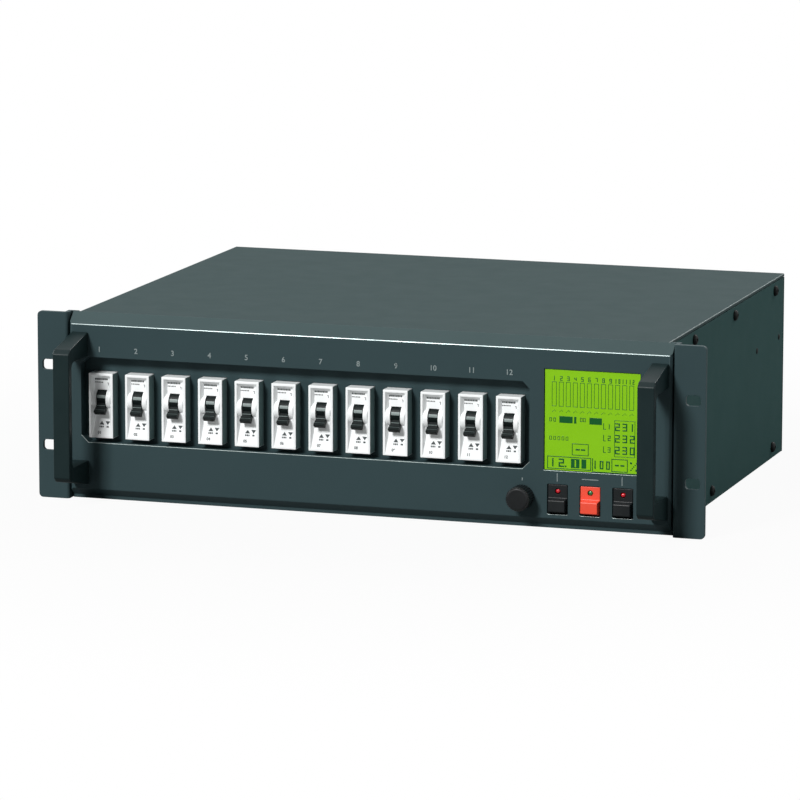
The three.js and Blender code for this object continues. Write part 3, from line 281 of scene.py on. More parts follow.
def turned(bm, profile, centre, axis="Y", steps=32):
    """A turned shape: pairs of radius and place along the axis, spun once round it."""
    slots = {"X": (1, 0), "Y": (0, 1), "Z": (0, 2)}[axis]
    verts = []
    for radius, along in profile:
        place = Vector(centre)
        place[slots[0]] += radius
        place[slots[1]] += along
        verts.append(bm.verts.new(place))
    edges = [bm.edges.new(pair) for pair in zip(verts, verts[1:])]
    before = set(bm.verts) - set(verts)
    way = Vector((0, 0, 0))
    way["XYZ".index(axis)] = 1
    bmesh.ops.spin(bm, geom=verts + edges, cent=centre, axis=way, angle=2 * math.pi, steps=steps,
                   use_merge=True, use_duplicate=False)
    made = [v for v in bm.verts if v not in before]
    bmesh.ops.remove_doubles(bm, verts=made, dist=0.001)


def ease(bm, width, segments=2, least=25, edges=None):
    """Rounds the edges that turn by more than `least` degrees."""
    sharp = [e for e in (edges or bm.edges)
             if len(e.link_faces) == 2 and e.calc_face_angle(0) > math.radians(least)]
    bmesh.ops.bevel(bm, geom=sharp, offset=width, offset_type="OFFSET", segments=segments, profile=0.5,
                    affect="EDGES", clamp_overlap=True, material=-1)


def template(bm, name):
    """A mesh that is set in place later, with its faces pointing outwards."""
    bmesh.ops.recalc_face_normals(bm, faces=bm.faces)
    mesh = bpy.data.meshes.new(name)
    bm.to_mesh(mesh)
    bm.free()
    return mesh


def stamp(bm, mesh, matrix):
    """A copy of a template in its place."""
    before = set(bm.verts)
    bm.from_mesh(mesh)
    bmesh.ops.transform(bm, matrix=matrix, verts=[v for v in bm.verts if v not in before])


def carve(bm, cutters, operation="DIFFERENCE"):
    """The shape with every cutter taken out of it, or joined to it."""
    things = []
    for shape in [bm] + cutters:
        things.append(bpy.data.objects.new("blank", template(shape, "blank")))
        scene.collection.objects.link(things[-1])
    for thing in things[1:]:
        step = things[0].modifiers.new("carve", "BOOLEAN")
        step.operation = operation
        step.object = thing
        step.solver = "EXACT"
    graph = bpy.context.evaluated_depsgraph_get()
    mesh = bpy.data.meshes.new_from_object(things[0].evaluated_get(graph))
    result = bmesh.new()
    result.from_mesh(mesh)
    bpy.data.meshes.remove(mesh)
    for thing in things:
        bpy.data.meshes.remove(thing.data)
    bmesh.ops.remove_doubles(result, verts=result.verts, dist=0.0005)
    bmesh.ops.dissolve_limit(result, angle_limit=math.radians(0.5), verts=result.verts, edges=result.edges)
    return result


def piece(name, bm, materials, body="root", nodes=(), crease=35, tidy=True):
    """Sets a shape into the scene: in metres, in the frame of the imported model, riding on its body."""
    bmesh.ops.scale(bm, vec=(MILLIMETRE,) * 3, verts=bm.verts)
    bmesh.ops.translate(bm, vec=FRAME_SHIFT, verts=bm.verts)
    if tidy:
        bmesh.ops.recalc_face_normals(bm, faces=bm.faces)
    mesh = bpy.data.meshes.new(name)
    bm.to_mesh(mesh)
    bm.free()
    for material in materials if isinstance(materials, (list, tuple)) else [materials]:
        mesh.materials.append(material)
    for face in mesh.polygons:
        face.use_smooth = True
    mesh.set_sharp_from_angle(angle=math.radians(crease))
    thing = bpy.data.objects.new(name, mesh)
    scene.collection.objects.link(thing)
    flat = thing.modifiers.new("flat_faces", "WEIGHTED_NORMAL")
    flat.keep_sharp = True
    graph = bpy.context.evaluated_depsgraph_get()
    thing.data = bpy.data.meshes.new_from_object(thing.evaluated_get(graph))
    thing.modifiers.clear()
    bpy.data.meshes.remove(mesh)
    thing.data.name = name
    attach(thing, body)
    if nodes:
        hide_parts(*nodes)
    return thing


def circle(radius, sides, x=0.0, y=0.0):
    return [(x + radius * math.cos(2 * math.pi * i / sides), y + radius * math.sin(2 * math.pi * i / sides))
            for i in range(sides)]


def rounded(width, height, radius, x=0.0, y=0.0, steps=5):
    """A rectangle with rounded corners about a middle."""
    points = []
    for quarter, (sx, sy) in enumerate(((1, 1), (-1, 1), (-1, -1), (1, -1))):
        for i in range(steps + 1):
            angle = (quarter + i / steps) * math.pi / 2
            points.append((x + sx * (width / 2 - radius) + radius * math.cos(angle),
                           y + sy * (height / 2 - radius) + radius * math.sin(angle)))
    return points


def cutter(points, axis, near, far):
    bm = bmesh.new()
    prism(bm, points, axis, near, far)
    return bm


HEAD_RADIUS, HEAD_HEIGHT, HEXAGON, HEXAGON_FLOOR = 3.85, 2.5, 1.35, 1.1
head = bmesh.new()
turned(head, [(0, 0), (HEAD_RADIUS - 0.15, 0), (HEAD_RADIUS, 0.15), (HEAD_RADIUS, 0.75), (3.5, 1.45),
              (2.9, 1.98), (2.2, 2.32), (1.7, HEAD_HEIGHT), (0, HEAD_HEIGHT)], (0, 0, 0), "Z", 28)
head = carve(head, [cutter(circle(HEXAGON, 6), "Z", HEXAGON_FLOOR, HEAD_HEIGHT + 1)])
screw_head = template(head, "screw_head")
black_oxide = finish("black_oxide_steel", tint(8, 13, 13), 0.6, specular=0.12, mottle=0.15, soft=0.15)
TO_RIGHT = Matrix.Rotation(math.pi / 2, 4, "Y")
TO_LEFT = Matrix.Rotation(-math.pi / 2, 4, "Y")


def screws(name, places, turn):
    """Button heads with a hexagon socket, each turned a little further than the one before."""
    bm = bmesh.new()
    for i, place in enumerate(places):
        spin = Matrix.Rotation(0.7 * i + 0.3, 4, "Z")
        stamp(bm, screw_head, Matrix.Translation(place) @ turn @ spin)
    return piece(name, bm, black_oxide, tidy=False)


SIDE, SHEET, FRONT_SEAT, REAR_SEAT, COVER_UNDER, BASE = 213, 2, 9.3, 331.7, 63.5, -66.25
AIR_SLOT, AIR_CORNER, AIR_MIDDLE, AIR_PITCH, AIR_ROWS = (4, 30), 1.9, (240, -12), 12, 38
side_screws = [(75.4, 57.2), (187.4, 57.2), (305.2, 57.2), (127.1, -57.95), (302.9, -57.95)]
for side, word, turn in ((1, "right", TO_RIGHT), (-1, "left", TO_LEFT)):
    bm = bmesh.new()
    block(bm, (side * (SIDE - SHEET), FRONT_SEAT, BASE), (side * SIDE, REAR_SEAT, COVER_UNDER - 0.3))
    if side < 0:
        middles = [(AIR_MIDDLE[0] + AIR_PITCH * (column - 4), AIR_MIDDLE[1] + AIR_ROWS * (row - 0.5))
                   for column in range(9) for row in range(2)]
        air_slots = [rounded(*AIR_SLOT, AIR_CORNER, y, z) for y, z in middles]
        bm = carve(bm, [cutter(slot, "X", side * (SIDE + 2), side * (SIDE - 4)) for slot in air_slots])
    ease(bm, 0.35)
    piece(f"side_sheet_{word}", bm, case_paint, nodes=[f"side_panel_{word}"])
    screws(f"side_screws_{word}", [(side * SIDE, y, z) for y, z in side_screws], turn)

RIVET_YS, RIVET_Z = (253.5, 319.2), 21
bm = bmesh.new()
for y in RIVET_YS:
    turned(bm, [(0, -0.4), (2.2, -0.4), (2.2, 0.12), (1.9, 0.42), (1.2, 0.6), (0.5, 0.62), (0.4, 0.3),
                (0, 0.3)], (SIDE, y, RIVET_Z), "X", 24)
piece("side_rivets", bm, black_oxide)

# Inside: steel rail, printed boards, extruded heat sink, wound chokes, transformer and terminals. They
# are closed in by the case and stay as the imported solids, each in the finish of its own material.
steel = finish("bright_steel", tint(168, 172, 175), 0.36, 0.9, grain=1500, depth=0.006, smudge=0.12)
aluminium = finish("extruded_aluminium", tint(182, 186, 188), 0.42, 0.9, grain=1200, depth=0.01)
board_green = finish("solder_mask", tint(24, 84, 52), 0.35, 0, grain=400, depth=0.02, coat=0.3)
copper = finish("enamelled_copper", tint(165, 84, 42), 0.34, 0.6, grain=700, depth=0.05, mottle=0.18)
dark_module = finish("moulded_black", tint(24, 27, 29), 0.48, grain=1100, depth=0.012)
dress(steel, "mounting_rail", "encoder", "transformer")
dress(aluminium, "heat_sink")
dress(board_green, "control_board", "driver_board", "triac_board")
dress(copper, "choke_board")
dress(dark_module, "display_module", "terminal_block")

# Rear panel: folded steel sheet with the fan grille, sockets and cable gland. The fan, the sockets and
# the gland are moulded plastic, screwed or nutted into it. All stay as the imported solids.
dress(case_paint, "rear_panel")
fan_black = finish("fan_plastic", tint(20, 22, 24), 0.45, grain=800, depth=0.02)
socket_grey = finish("socket_plastic", tint(108, 116, 120), 0.5, grain=900, depth=0.015)
socket_shell = finish("socket_shell", tint(38, 42, 45), 0.35, 0.5)
gland_black = finish("gland_plastic", tint(22, 24, 26), 0.5, grain=900, depth=0.015)
dress(fan_black, "fan_frame", "fan_rotor")
dress(socket_grey, "output_socket_1", "output_socket_2")
dress(socket_shell, "data_inlet", "data_outlet")
dress(gland_black, "mains_gland")


# Rear fixings: small zinc-plated pan-head screws with a cross slot, four round the fan, four in each
# output socket's flange and two in each data socket's.
def oblong(left, right, low, high):
    return [(left, low), (right, low), (right, high), (left, high)]


FAN_X, FAN_Z, FAN_REACH = -110, -20, 35.75
SOCKET_X, SOCKET_ZS, SOCKET_REACH_X, SOCKET_REACH_Z = 105, (29.5, -20.5), 43.4, 18.4
DATA_X, DATA_REACH_X, DATA_REACH_Z = 38, 9.6, 12.2
PANEL_SKIN, SOCKET_FLANGE, DATA_FLANGE = 334.02, 338.32, 336.52
CROSS_LONG, CROSS_WIDE, CROSS_FLOOR = 1.3, 0.3, 0.8
TO_REAR = Matrix.Rotation(-math.pi / 2, 4, "X")
small = bmesh.new()
turned(small, [(0, 0), (2.1, 0), (2.2, 0.15), (2.2, 0.55), (1.9, 1.0), (1.3, 1.3), (0, 1.4)],
       (0, 0, 0), "Z", 20)
cross = [oblong(-across, across, -up, up)
         for across, up in ((CROSS_LONG, CROSS_WIDE), (CROSS_WIDE, CROSS_LONG))]
small = carve(small, [cutter(outline, "Z", CROSS_FLOOR, 3) for outline in cross])
small_head = template(small, "small_head")
zinc_steel = finish("zinc_plated_steel", tint(150, 154, 156), 0.34, 0.85, grain=1300, depth=0.006,
                    mottle=0.12, smudge=0.1, soft=0.1)
corners = [(sx, sz) for sx in (-1, 1) for sz in (-1, 1)]
fixings = [(FAN_X + FAN_REACH * sx, PANEL_SKIN, FAN_Z + FAN_REACH * sz) for sx, sz in corners]
fixings += [(SOCKET_X + SOCKET_REACH_X * sx, SOCKET_FLANGE, z + SOCKET_REACH_Z * sz)
            for z in SOCKET_ZS for sx, sz in corners]
fixings += [(DATA_X + DATA_REACH_X * s, DATA_FLANGE, z + DATA_REACH_Z * s)
            for z in SOCKET_ZS for s in (-1, 1)]
bm = bmesh.new()
for i, place in enumerate(fixings):
    stamp(bm, small_head, Matrix.Translation(place) @ TO_REAR @ Matrix.Rotation(0.9 * i, 4, "Z"))
piece("rear_fixings", bm, zinc_steel, tidy=False)

# Rear contacts: gold-plated sprung leaves, two in each of the sixteen wells of an output socket, and
# the five turned pins of the data inlet on their circle.
LEAF_NEAR, LEAF_FAR, LEAF_HALF = 0.95, 1.35, 1.1
LEAF_FRONT, LEAF_REAR, WELL_PITCH, WELL_UP = 332.6, 337.2, 8, 6
PIN_RADIUS, PIN_RING = 1.24, 4.6
gold = finish("gold_plate", tint(206, 168, 96), 0.28, 0.95, grain=1300, depth=0.004, mottle=0.1, soft=0.1)
bm = bmesh.new()
for z in SOCKET_ZS:
    for column in range(8):
        for row in (-1, 1):
            x, middle = SOCKET_X + WELL_PITCH * (column - 3.5), z + WELL_UP * row
            for side in (-1, 1):
                block(bm, (x + side * LEAF_NEAR, LEAF_FRONT, middle - LEAF_HALF),
                      (x + side * LEAF_FAR, LEAF_REAR, middle + LEAF_HALF))
for i in range(5):
    angle = math.pi * (i + 1) / 3 - math.pi / 2
    turned(bm, [(0, 325.6), (PIN_RADIUS, 325.6), (PIN_RADIUS, 333.9), (0.95, 334.5), (0, 334.55)],
           (DATA_X + PIN_RING * math.cos(angle), 0, SOCKET_ZS[0] + PIN_RING * math.sin(angle)), "Y", 16)
piece("rear_contacts", bm, gold)

# Front panel: thick aluminium plate, milled slopes along the top and bottom, the lower one above an
# upright lip, openings for breakers, display, keys and knob, powder coated slate grey. The top edge of
# the face and the lower rims of the openings carry a pale painted highlight.
PANEL_HALF, PANEL_TALL, FACE_HALF, PANEL_THICK, SLOPE_DEEP = 217.5, 66, 58.2, 9, 8.6
LIP_Y, LIP_TOP, END_SLOPE = 6, -63.6, 1.7
WINDOW, WINDOW_CORNER = (-209, 117.6, -25, 35.4), 5
DISPLAY = (128, 195.8, -25, 45)
KEY_XS, KEY_Z, KEY_OPENING = (137.8, 160.85, 183.9), -44.5, (14.6, 20.9, 0.8)
KNOB_X, KNOB_Z, SHAFT_HOLE = 112.8, -44.3, 4.8
front_paint = finish("front_powder_coat", tint(51, 68, 71), 0.5, specular=0.1, mottle=0.02, smudge=0.04,
                     wear=tint(98, 112, 116), wear_share=0.18)
bm = bmesh.new()
section = [(0, -FACE_HALF), (LIP_Y, LIP_TOP), (LIP_Y, -PANEL_TALL), (PANEL_THICK, -PANEL_TALL),
           (PANEL_THICK, PANEL_TALL), (SLOPE_DEEP, PANEL_TALL), (0, FACE_HALF)]
prism(bm, section, "X", -PANEL_HALF, PANEL_HALF)
for side in (-1, 1):                            # both ends slope back at 45 degrees
    cut = bmesh.ops.bisect_plane(bm, geom=bm.verts[:] + bm.edges[:] + bm.faces[:],
                                 plane_co=(side * (PANEL_HALF - END_SLOPE), 0, 0), plane_no=(side, -1, 0),
                                 clear_outer=True, dist=0.0001)["geom_cut"]
    bmesh.ops.contextual_create(bm, geom=[e for e in cut if isinstance(e, bmesh.types.BMEdge)])


def cut_corners(left, right, low, high, corner):
    return [(left + corner, low), (right - corner, low), (right, low + corner), (right, high - corner),
            (right - corner, high), (left + corner, high), (left, high - corner), (left, low + corner)]


openings = [cut_corners(*WINDOW, WINDOW_CORNER), oblong(*DISPLAY), circle(SHAFT_HOLE, 24, KNOB_X, KNOB_Z)]
openings += [rounded(*KEY_OPENING, x, KEY_Z - 0.4, 3) for x in KEY_XS]
ease(bm, 0.45, 3, 20, [e for e in bm.edges if all(v.co.y < 0.01 for v in e.verts)])
bm = carve(bm, [cutter(points, "Y", -3, 12) for points in openings])
rims = [e for e in bm.edges if all(abs(v.co.y) < 0.01 and abs(v.co.z) < 57 and abs(v.co.x) < PANEL_HALF - 3
                                   for v in e.verts)]
ease(bm, 0.32, 2, 40, rims)

# The top edge of the face and the lower rims of the openings get a painted highlight; the slope above gets
# a paler coat as painted light.
EDGE_DEEP, EDGE_AREA = 0.8, 450
for face in bm.faces:
    middle, way = face.calc_center_median(), face.normal
    if -0.95 < way.y < -0.3 and way.z > 0.25 and middle.y < EDGE_DEEP and face.calc_area() < EDGE_AREA:
        face.material_index = 1 if middle.z > 50 else 2
    elif way.z > 0.5 and middle.z > FACE_HALF - 0.2:
        face.material_index = 3
# Painted highlight: a pale metal finish on the bevel along the top edge of the face.
painted_highlight_top_edge = finish("top_edge_painted_highlight", tint(150, 162, 162), 0.36, 0.8, grain=1500, depth=0.004,
                     mottle=0.1, smudge=0.12)
# Painted light: a paler copy of the front coat on the upward-facing top slope.
painted_light_slope = finish("slope_coat_with_painted_light", tint(67, 83, 84), 0.5, specular=0.1, mottle=0.02, smudge=0.04)
# Painted highlight: a bright finish on the upward-facing lower rims of the openings.
painted_highlight_rim = finish("opening_rim_painted_highlight", tint(158, 170, 168), 0.4, 0.5, grain=1300, depth=0.006,
                    mottle=0.08)
piece("front_plate", bm, [front_paint, painted_highlight_top_edge, painted_highlight_rim, painted_light_slope],
      nodes=["front_panel"])


# Front print: pale screen-printed ink, a hair thick. A plain way number stands over each breaker, and
# short marks over the keys and the knob.
def lettering(bm, words, height, x, y, z, bold=0.0, thick=0.05):
    """Flat printed signs standing on a face that looks forward; x and z are their middle."""
    curve = bpy.data.curves.new("sign", "FONT")
    curve.body = words
    curve.size = 1
    curve.offset = bold
    thing = bpy.data.objects.new("sign", curve)
    scene.collection.objects.link(thing)
    graph = bpy.context.evaluated_depsgraph_get()
    mesh = bpy.data.meshes.new_from_object(thing.evaluated_get(graph))
    bpy.data.curves.remove(curve)
    before, faces_before = set(bm.verts), set(bm.faces)
    bm.from_mesh(mesh)
    bpy.data.meshes.remove(mesh)
    verts = [v for v in bm.verts if v not in before]
    lows = [min(v.co[i] for v in verts) for i in range(2)]
    highs = [max(v.co[i] for v in verts) for i in range(2)]
    scale = height / (highs[1] - lows[1])
    bmesh.ops.translate(bm, vec=(-(lows[0] + highs[0]) / 2, -(lows[1] + highs[1]) / 2, 0), verts=verts)
    bmesh.ops.scale(bm, vec=(scale, scale, 1), verts=verts)
    bmesh.ops.rotate(bm, cent=(0, 0, 0), matrix=Matrix.Rotation(math.pi / 2, 3, "X"), verts=verts)
    bmesh.ops.translate(bm, vec=(x, y, z), verts=verts)
    sign = [f for f in bm.faces if f not in faces_before]
    pushed = bmesh.ops.extrude_face_region(bm, geom=sign, use_keep_orig=True)["geom"]
    raised = [v for v in pushed if isinstance(v, bmesh.types.BMVert)]
    bmesh.ops.translate(bm, vec=(0, -thick, 0), verts=raised)


WAYS, WAY_PITCH, FIRST_WAY, WAY_NUMBER_Z, WAY_NUMBER_TALL = 12, 27.16, 195.2, 41.2, 3.8
PRINT_FRONT, PRINT_BACK = -0.04, 0.02
print_white = finish("screen_print_white", tint(130, 142, 142), 0.6, grain=2500, depth=0.004, mottle=0.1)
marks = [(137.6 - 0.3, 137.6 + 0.3, -32.6, -26.8), (183.4 - 0.3, 183.4 + 0.3, -32.8, -26.8),
         (KNOB_X - 0.35, KNOB_X + 0.35, -33.2, -31.2), (155, 166.8, -30.2, -29.6)]
print_bm = bmesh.new()
for i in range(WAYS):
    lettering(print_bm, str(i + 1), WAY_NUMBER_TALL, WAY_PITCH * i - FIRST_WAY, PRINT_BACK, WAY_NUMBER_Z,
              bold=0.018)
for left, right, low, high in marks:
    block(print_bm, (left, PRINT_FRONT, low), (right, PRINT_BACK, high))
piece("front_print", print_bm, print_white)

# Breaker plate: thin steel sheet behind the window, punched with one oblong hole for each breaker
# nose, in the same slate powder coat as the front.
BREAKER_XS = [-194.2 + 27 * i for i in range(WAYS)]
PLATE_BACK, PLATE_LEFT, PLATE_RIGHT, PLATE_LOW, PLATE_HIGH = 10.8, -210.4, 122.6, -28.5, 38.9
NOSE_HOLE_HALF, NOSE_HOLE_LOW, NOSE_HOLE_HIGH = 9.2, -21.8, 24.6
bm = bmesh.new()
block(bm, (PLATE_LEFT, FRONT_SEAT, PLATE_LOW), (PLATE_RIGHT, PLATE_BACK, PLATE_HIGH))
holes = [oblong(x - NOSE_HOLE_HALF, x + NOSE_HOLE_HALF, NOSE_HOLE_LOW, NOSE_HOLE_HIGH) for x in BREAKER_XS]
bm = carve(bm, [cutter(hole, "Y", 7, 13) for hole in holes])
ease(bm, 0.2)
piece("breaker_sheet", bm, front_paint, nodes=["breaker_plate"])

# Circuit breakers: moulded pale housings that clip on the rail. Each nose has a rim, a label recess
# with drafted walls, whose floor slopes forward near its lower end, and two domed cheeks with a slot
# between them for the toggle. The outer sides and the body behind the shoulder are a darker grey as painted
# shade.
NOSE_Z, NOSE_HALF, NOSE_FRONT, NOSE_SIDE, RIM = 1.4, 22.9, -0.6, 8.9, 1.6
AXIS_Y, AXIS_Z = 5.9, 5.4
LOW_END, BEND, HIGH_END = (RIM - NOSE_HALF, 0.2), (-9, 2.7), (18.9, 3.1)     # height and depth of the floor
DRAFT, TOP_DRAFT, AHEAD = 0.625, 0.75, 2
CHEEK_Z, CHEEK_RADIUS, CHEEK_INSET = AXIS_Z - 1.3, 7.2, 0.15
SLOT_HALF, SLOT_RADIUS, SLOT_FLOOR, SLOT_DOWN, SLOT_UP = 3.7, 6.6, 4.8, 8, 5
AXLE_HOLE, AXLE_HALF = 1.7, 5.2
breaker_white = finish("breaker_plastic", tint(248, 251, 251), 0.4, specular=0.35, grain=1400, depth=0.006,
                       mottle=0.02, smudge=0.05, soft=0.3)
# Painted shade: a darker grey for the outer sides of each nose and the body behind it.
breaker_painted_shade = finish("breaker_side_painted_shade", tint(140, 162, 162), 0.6, specular=0.2, grain=1100,
                      depth=0.01, mottle=0.04)
SHOULDER_Y, WELL_Z, WELL_RADIUS = 24, 33, 3
upper = [(NOSE_FRONT, NOSE_HALF), (SHOULDER_Y, NOSE_HALF), (SHOULDER_Y, 37), (29, 42), (66, 42), (66, 16.6),
         (62.3, 16.6), (62.3, 17.8), (60.7, 17.8)]    # the lower half mirrors it
bm = bmesh.new()
prism(bm, upper + [(y, -z) for y, z in reversed(upper)], "X", -NOSE_SIDE, NOSE_SIDE)
ease(bm, 0.4, 3, 40)
inner = NOSE_SIDE - RIM
recess = bmesh.new()
for z, depth in (LOW_END, BEND, HIGH_END, (HIGH_END[0] + TOP_DRAFT * (HIGH_END[1] + AHEAD), -AHEAD),
                 (LOW_END[0], -AHEAD)):
    for side in (-1, 1):
        recess.verts.new((side * (inner - DRAFT * depth), NOSE_FRONT + depth, z))
bmesh.ops.convex_hull(recess, input=recess.verts)
bm = carve(bm, [recess])
dome = cutter(circle(CHEEK_RADIUS, 64, AXIS_Y, CHEEK_Z), "X", CHEEK_INSET - inner, inner - CHEEK_INSET)
ease(dome, 0.7, 3, 40)
bm = carve(bm, [dome], "UNION")
bm = carve(bm, [
    cutter(circle(SLOT_RADIUS, 48, AXIS_Y, AXIS_Z), "X", -SLOT_HALF, SLOT_HALF),
    cutter(oblong(-4, SLOT_FLOOR, AXIS_Z - SLOT_DOWN, AXIS_Z + SLOT_UP), "X", -SLOT_HALF, SLOT_HALF),
    cutter(circle(AXLE_HOLE, 16, AXIS_Y, AXIS_Z), "X", -AXLE_HALF, AXLE_HALF),
    cutter(circle(WELL_RADIUS, 20, 0, WELL_Z), "Y", SHOULDER_Y - 2, SHOULDER_Y + 7),
    cutter(circle(WELL_RADIUS, 20, 0, -WELL_Z), "Y", SHOULDER_Y - 2, SHOULDER_Y + 7)])
# The outer sides and the body behind the shoulder take the painted shade.
for face in bm.faces:
    middle = face.calc_center_median()
    if abs(face.normal.x) > 0.99 and abs(middle.x) > NOSE_SIDE - 0.1 or middle.y > SHOULDER_Y - 1:
        face.material_index = 1
housing = template(bm, "housing")

# Toggles: moulded black drums on an axle between the cheeks, with a lever that has a rib and a wider
# grip, both with a paler painted highlight. A pale painted highlight band runs across the drum.
DRUM_RADIUS, DRUM_HALF, AXLE_RADIUS, AXLE_REACH = 6.2, 3.4, 1.3, 4.9
LEVER_HALF, GRIP_HALF, LEVER_DROP = 3.3, 3.9, 50
# Where the painted highlight band lies on the drum.
HIGHLIGHT_FROM, HIGHLIGHT_TO = 1, 22                    # degrees above the horizontal, with the lever down
toggle_black = finish("toggle_plastic", tint(13, 21, 21), 0.5, specular=0.12, grain=1600, depth=0.006,
                      mottle=0.1, wear=tint(60, 68, 70), wear_share=0.2, soft=0.15)
# Painted highlight: a paler grey on the lever's rib and grip edge, which face the lamp.
toggle_painted_highlight = finish("toggle_painted_highlight_edge", tint(78, 92, 90), 0.4, grain=1600, depth=0.004, mottle=0.15)
# Painted highlight: a pale band on the drum where the lamp's reflection falls.
toggle_painted_band = finish("toggle_painted_highlight_band", tint(128, 140, 138), 0.42, grain=1600, depth=0.005)
toggle = bmesh.new()
turned(toggle, [(0, -DRUM_HALF), (DRUM_RADIUS - 0.3, -DRUM_HALF), (DRUM_RADIUS, 0.3 - DRUM_HALF),
                (DRUM_RADIUS, DRUM_HALF - 0.3), (DRUM_RADIUS - 0.3, DRUM_HALF), (0, DRUM_HALF)],
       (0, 0, 0), "X", 72)
turned(toggle, [(0, -AXLE_REACH), (AXLE_RADIUS, -AXLE_REACH), (AXLE_RADIUS, AXLE_REACH), (0, AXLE_REACH)],
       (0, 0, 0), "X", 16)
lever = cutter([(-0.5, -1.8), (7.9, -1.65), (8.1, -2.05), (8.7, -2.05), (8.9, -1.6), (13.2, -1.5),
                (13.2, 1.2), (9, 1.6), (-0.5, 1.8)], "X", -LEVER_HALF, LEVER_HALF)
grip = cutter([(9.6, -1.5), (11.4, -1.6), (12.1, -2.3), (13.7, -2.4), (14.1, -2.0), (14.1, 1.0),
               (13.6, 1.5), (9.8, 1.4)], "X", -GRIP_HALF, GRIP_HALF)
lever = carve(lever, [grip], "UNION")
# The rib and the grip edge take the painted highlight.
for face in lever.faces:
    middle = face.calc_center_median()
    rib = middle.z < -2 and middle.y < 9
    grip_edge = -2.2 < middle.z < -1.62 and 11.4 < middle.y < 12.2
    if rib or grip_edge:
        face.material_index = 2
ease(lever, 0.16, 2, 30)
stamp(toggle, template(lever, "lever"), Matrix.Rotation(math.radians(180 + LEVER_DROP), 4, "X"))
# Drum faces within the band's angles take the painted highlight.
for face in toggle.faces:
    middle = face.calc_center_median()
    angle = math.degrees(math.atan2(middle.z, -middle.y))
    on_drum = abs(math.hypot(middle.y, middle.z) - DRUM_RADIUS + 0.01) < 0.1 and abs(middle.x) < 3
    if on_drum and HIGHLIGHT_FROM < angle < HIGHLIGHT_TO:
        face.material_index = 1
toggle_shape = template(toggle, "toggle")


# Breaker labels: dark print on the floor of the label recess, rows of small word-like bars at the top,
# an up and a down triangle near the bottom, and the way's two-digit number.
def recess_depth(z):
    """How far the label recess lies behind the nose's front at a height on the nose."""
    low, high = (LOW_END, BEND) if z < BEND[0] else (BEND, HIGH_END)
    return low[1] + (z - low[0]) / (high[0] - low[0]) * (high[1] - low[1])


def lay_on_recess(bm):
    """Moves flat print, drawn at the height it has on the nose, back on the sloping recess."""
    for vert in bm.verts:
        vert.co.y += NOSE_FRONT + recess_depth(vert.co.z)


INK_FRONT, INK_BACK, LABEL_LEFT = -0.05, 0.1, -5.3
NUMBER_TALL, NUMBER_X, NUMBER_Z, NUMBER_BOLD = 2.0, -1.5, -19, 0.03
ARROW_Z, ARROW_HALF, ARROW_UP = -12.4, 1.8, 1.25
ink = bmesh.new()


def label_bar(left, right, low, high):
    block(ink, (left, INK_FRONT, low), (right, INK_BACK, high))


for widths, gap, low, high in (((1.1, 0.8, 1.3, 0.7, 1.0, 1.2, 0.8, 1.1), 0.2, 17.8, 19.3),
                               ((0.7, 1.0, 0.5, 0.9, 0.6, 0.8), 0.3, 15.8, 16.5)):
    place = LABEL_LEFT
    for width in widths:
        label_bar(place, place + width, low, high)
        place += width + gap
label_bar(3.9, 4.9, 15.7, 16.1)
label_bar(4.5, 4.9, 14.2, 15.7)
for middle, flip in ((0, 1), (4.4, -1)):
    foot, tip = ARROW_Z - ARROW_UP * flip, ARROW_Z + ARROW_UP * flip
    prism(ink, [(middle - ARROW_HALF, foot), (middle + ARROW_HALF, foot), (middle, tip)], "Y", INK_FRONT,
          INK_BACK)
for left, right in ((-1.7, -0.9), (-0.6, 0.5), (0.8, 1.5), (3.6, 5.2)):
    label_bar(left, right, -15.5, -14.4)
lay_on_recess(ink)
label_mesh = template(ink, "label")
label_ink = finish("label_ink", tint(46, 54, 56), 0.55, grain=2500, depth=0.003)

for i, x in enumerate(BREAKER_XS):
    number = f"{i + 1:02d}"
    bm = bmesh.new()
    stamp(bm, housing, Matrix.Translation((x, 0, NOSE_Z)))
    piece(f"breaker_case_{number}", bm, [breaker_white, breaker_painted_shade],
          nodes=[f"breaker_housing_{number}"])
    bm = bmesh.new()
    stamp(bm, toggle_shape, Matrix.Translation((x, AXIS_Y, NOSE_Z + AXIS_Z)))
    piece(f"breaker_lever_{number}", bm, [toggle_black, toggle_painted_band, toggle_painted_highlight],
          f"toggle_{number}", [f"breaker_toggle_{number}"])
    ink = bmesh.new()
    lettering(ink, number, NUMBER_TALL, x + NUMBER_X, INK_BACK, NUMBER_Z, NUMBER_BOLD, INK_BACK - INK_FRONT)
    lay_on_recess(ink)
    bmesh.ops.translate(ink, vec=(0, 0, NOSE_Z), verts=ink.verts)
    stamp(ink, label_mesh, Matrix.Translation((x, 0, NOSE_Z)))
    piece(f"breaker_label_{number}", ink, label_ink)

# Display glass: a lit yellow-green liquid crystal panel behind clear glass, glued behind the front
# panel and framed by its opening.
PANE_Y, PANE_BACK, PANE_GAP = 0.8, 2.8, 0.3
lcd_tint = tint(129, 189, 20)
lcd_green = finish("display_glow", lcd_tint, 0.3, specular=0.2, grain=1500, depth=0.003, mottle=0.03)
skin = next(n for n in lcd_green.node_tree.nodes if n.type == "BSDF_PRINCIPLED")
skin.inputs["Emission Color"].default_value = lcd_tint
skin.inputs["Emission Strength"].default_value = 0.08
bm = bmesh.new()
block(bm, (DISPLAY[0] + PANE_GAP, PANE_Y, DISPLAY[2] + PANE_GAP),
      (DISPLAY[1] - PANE_GAP, PANE_BACK, DISPLAY[3] - PANE_GAP))
ease(bm, 0.25)
piece("display_pane", bm, lcd_green, nodes=["display_glass"])

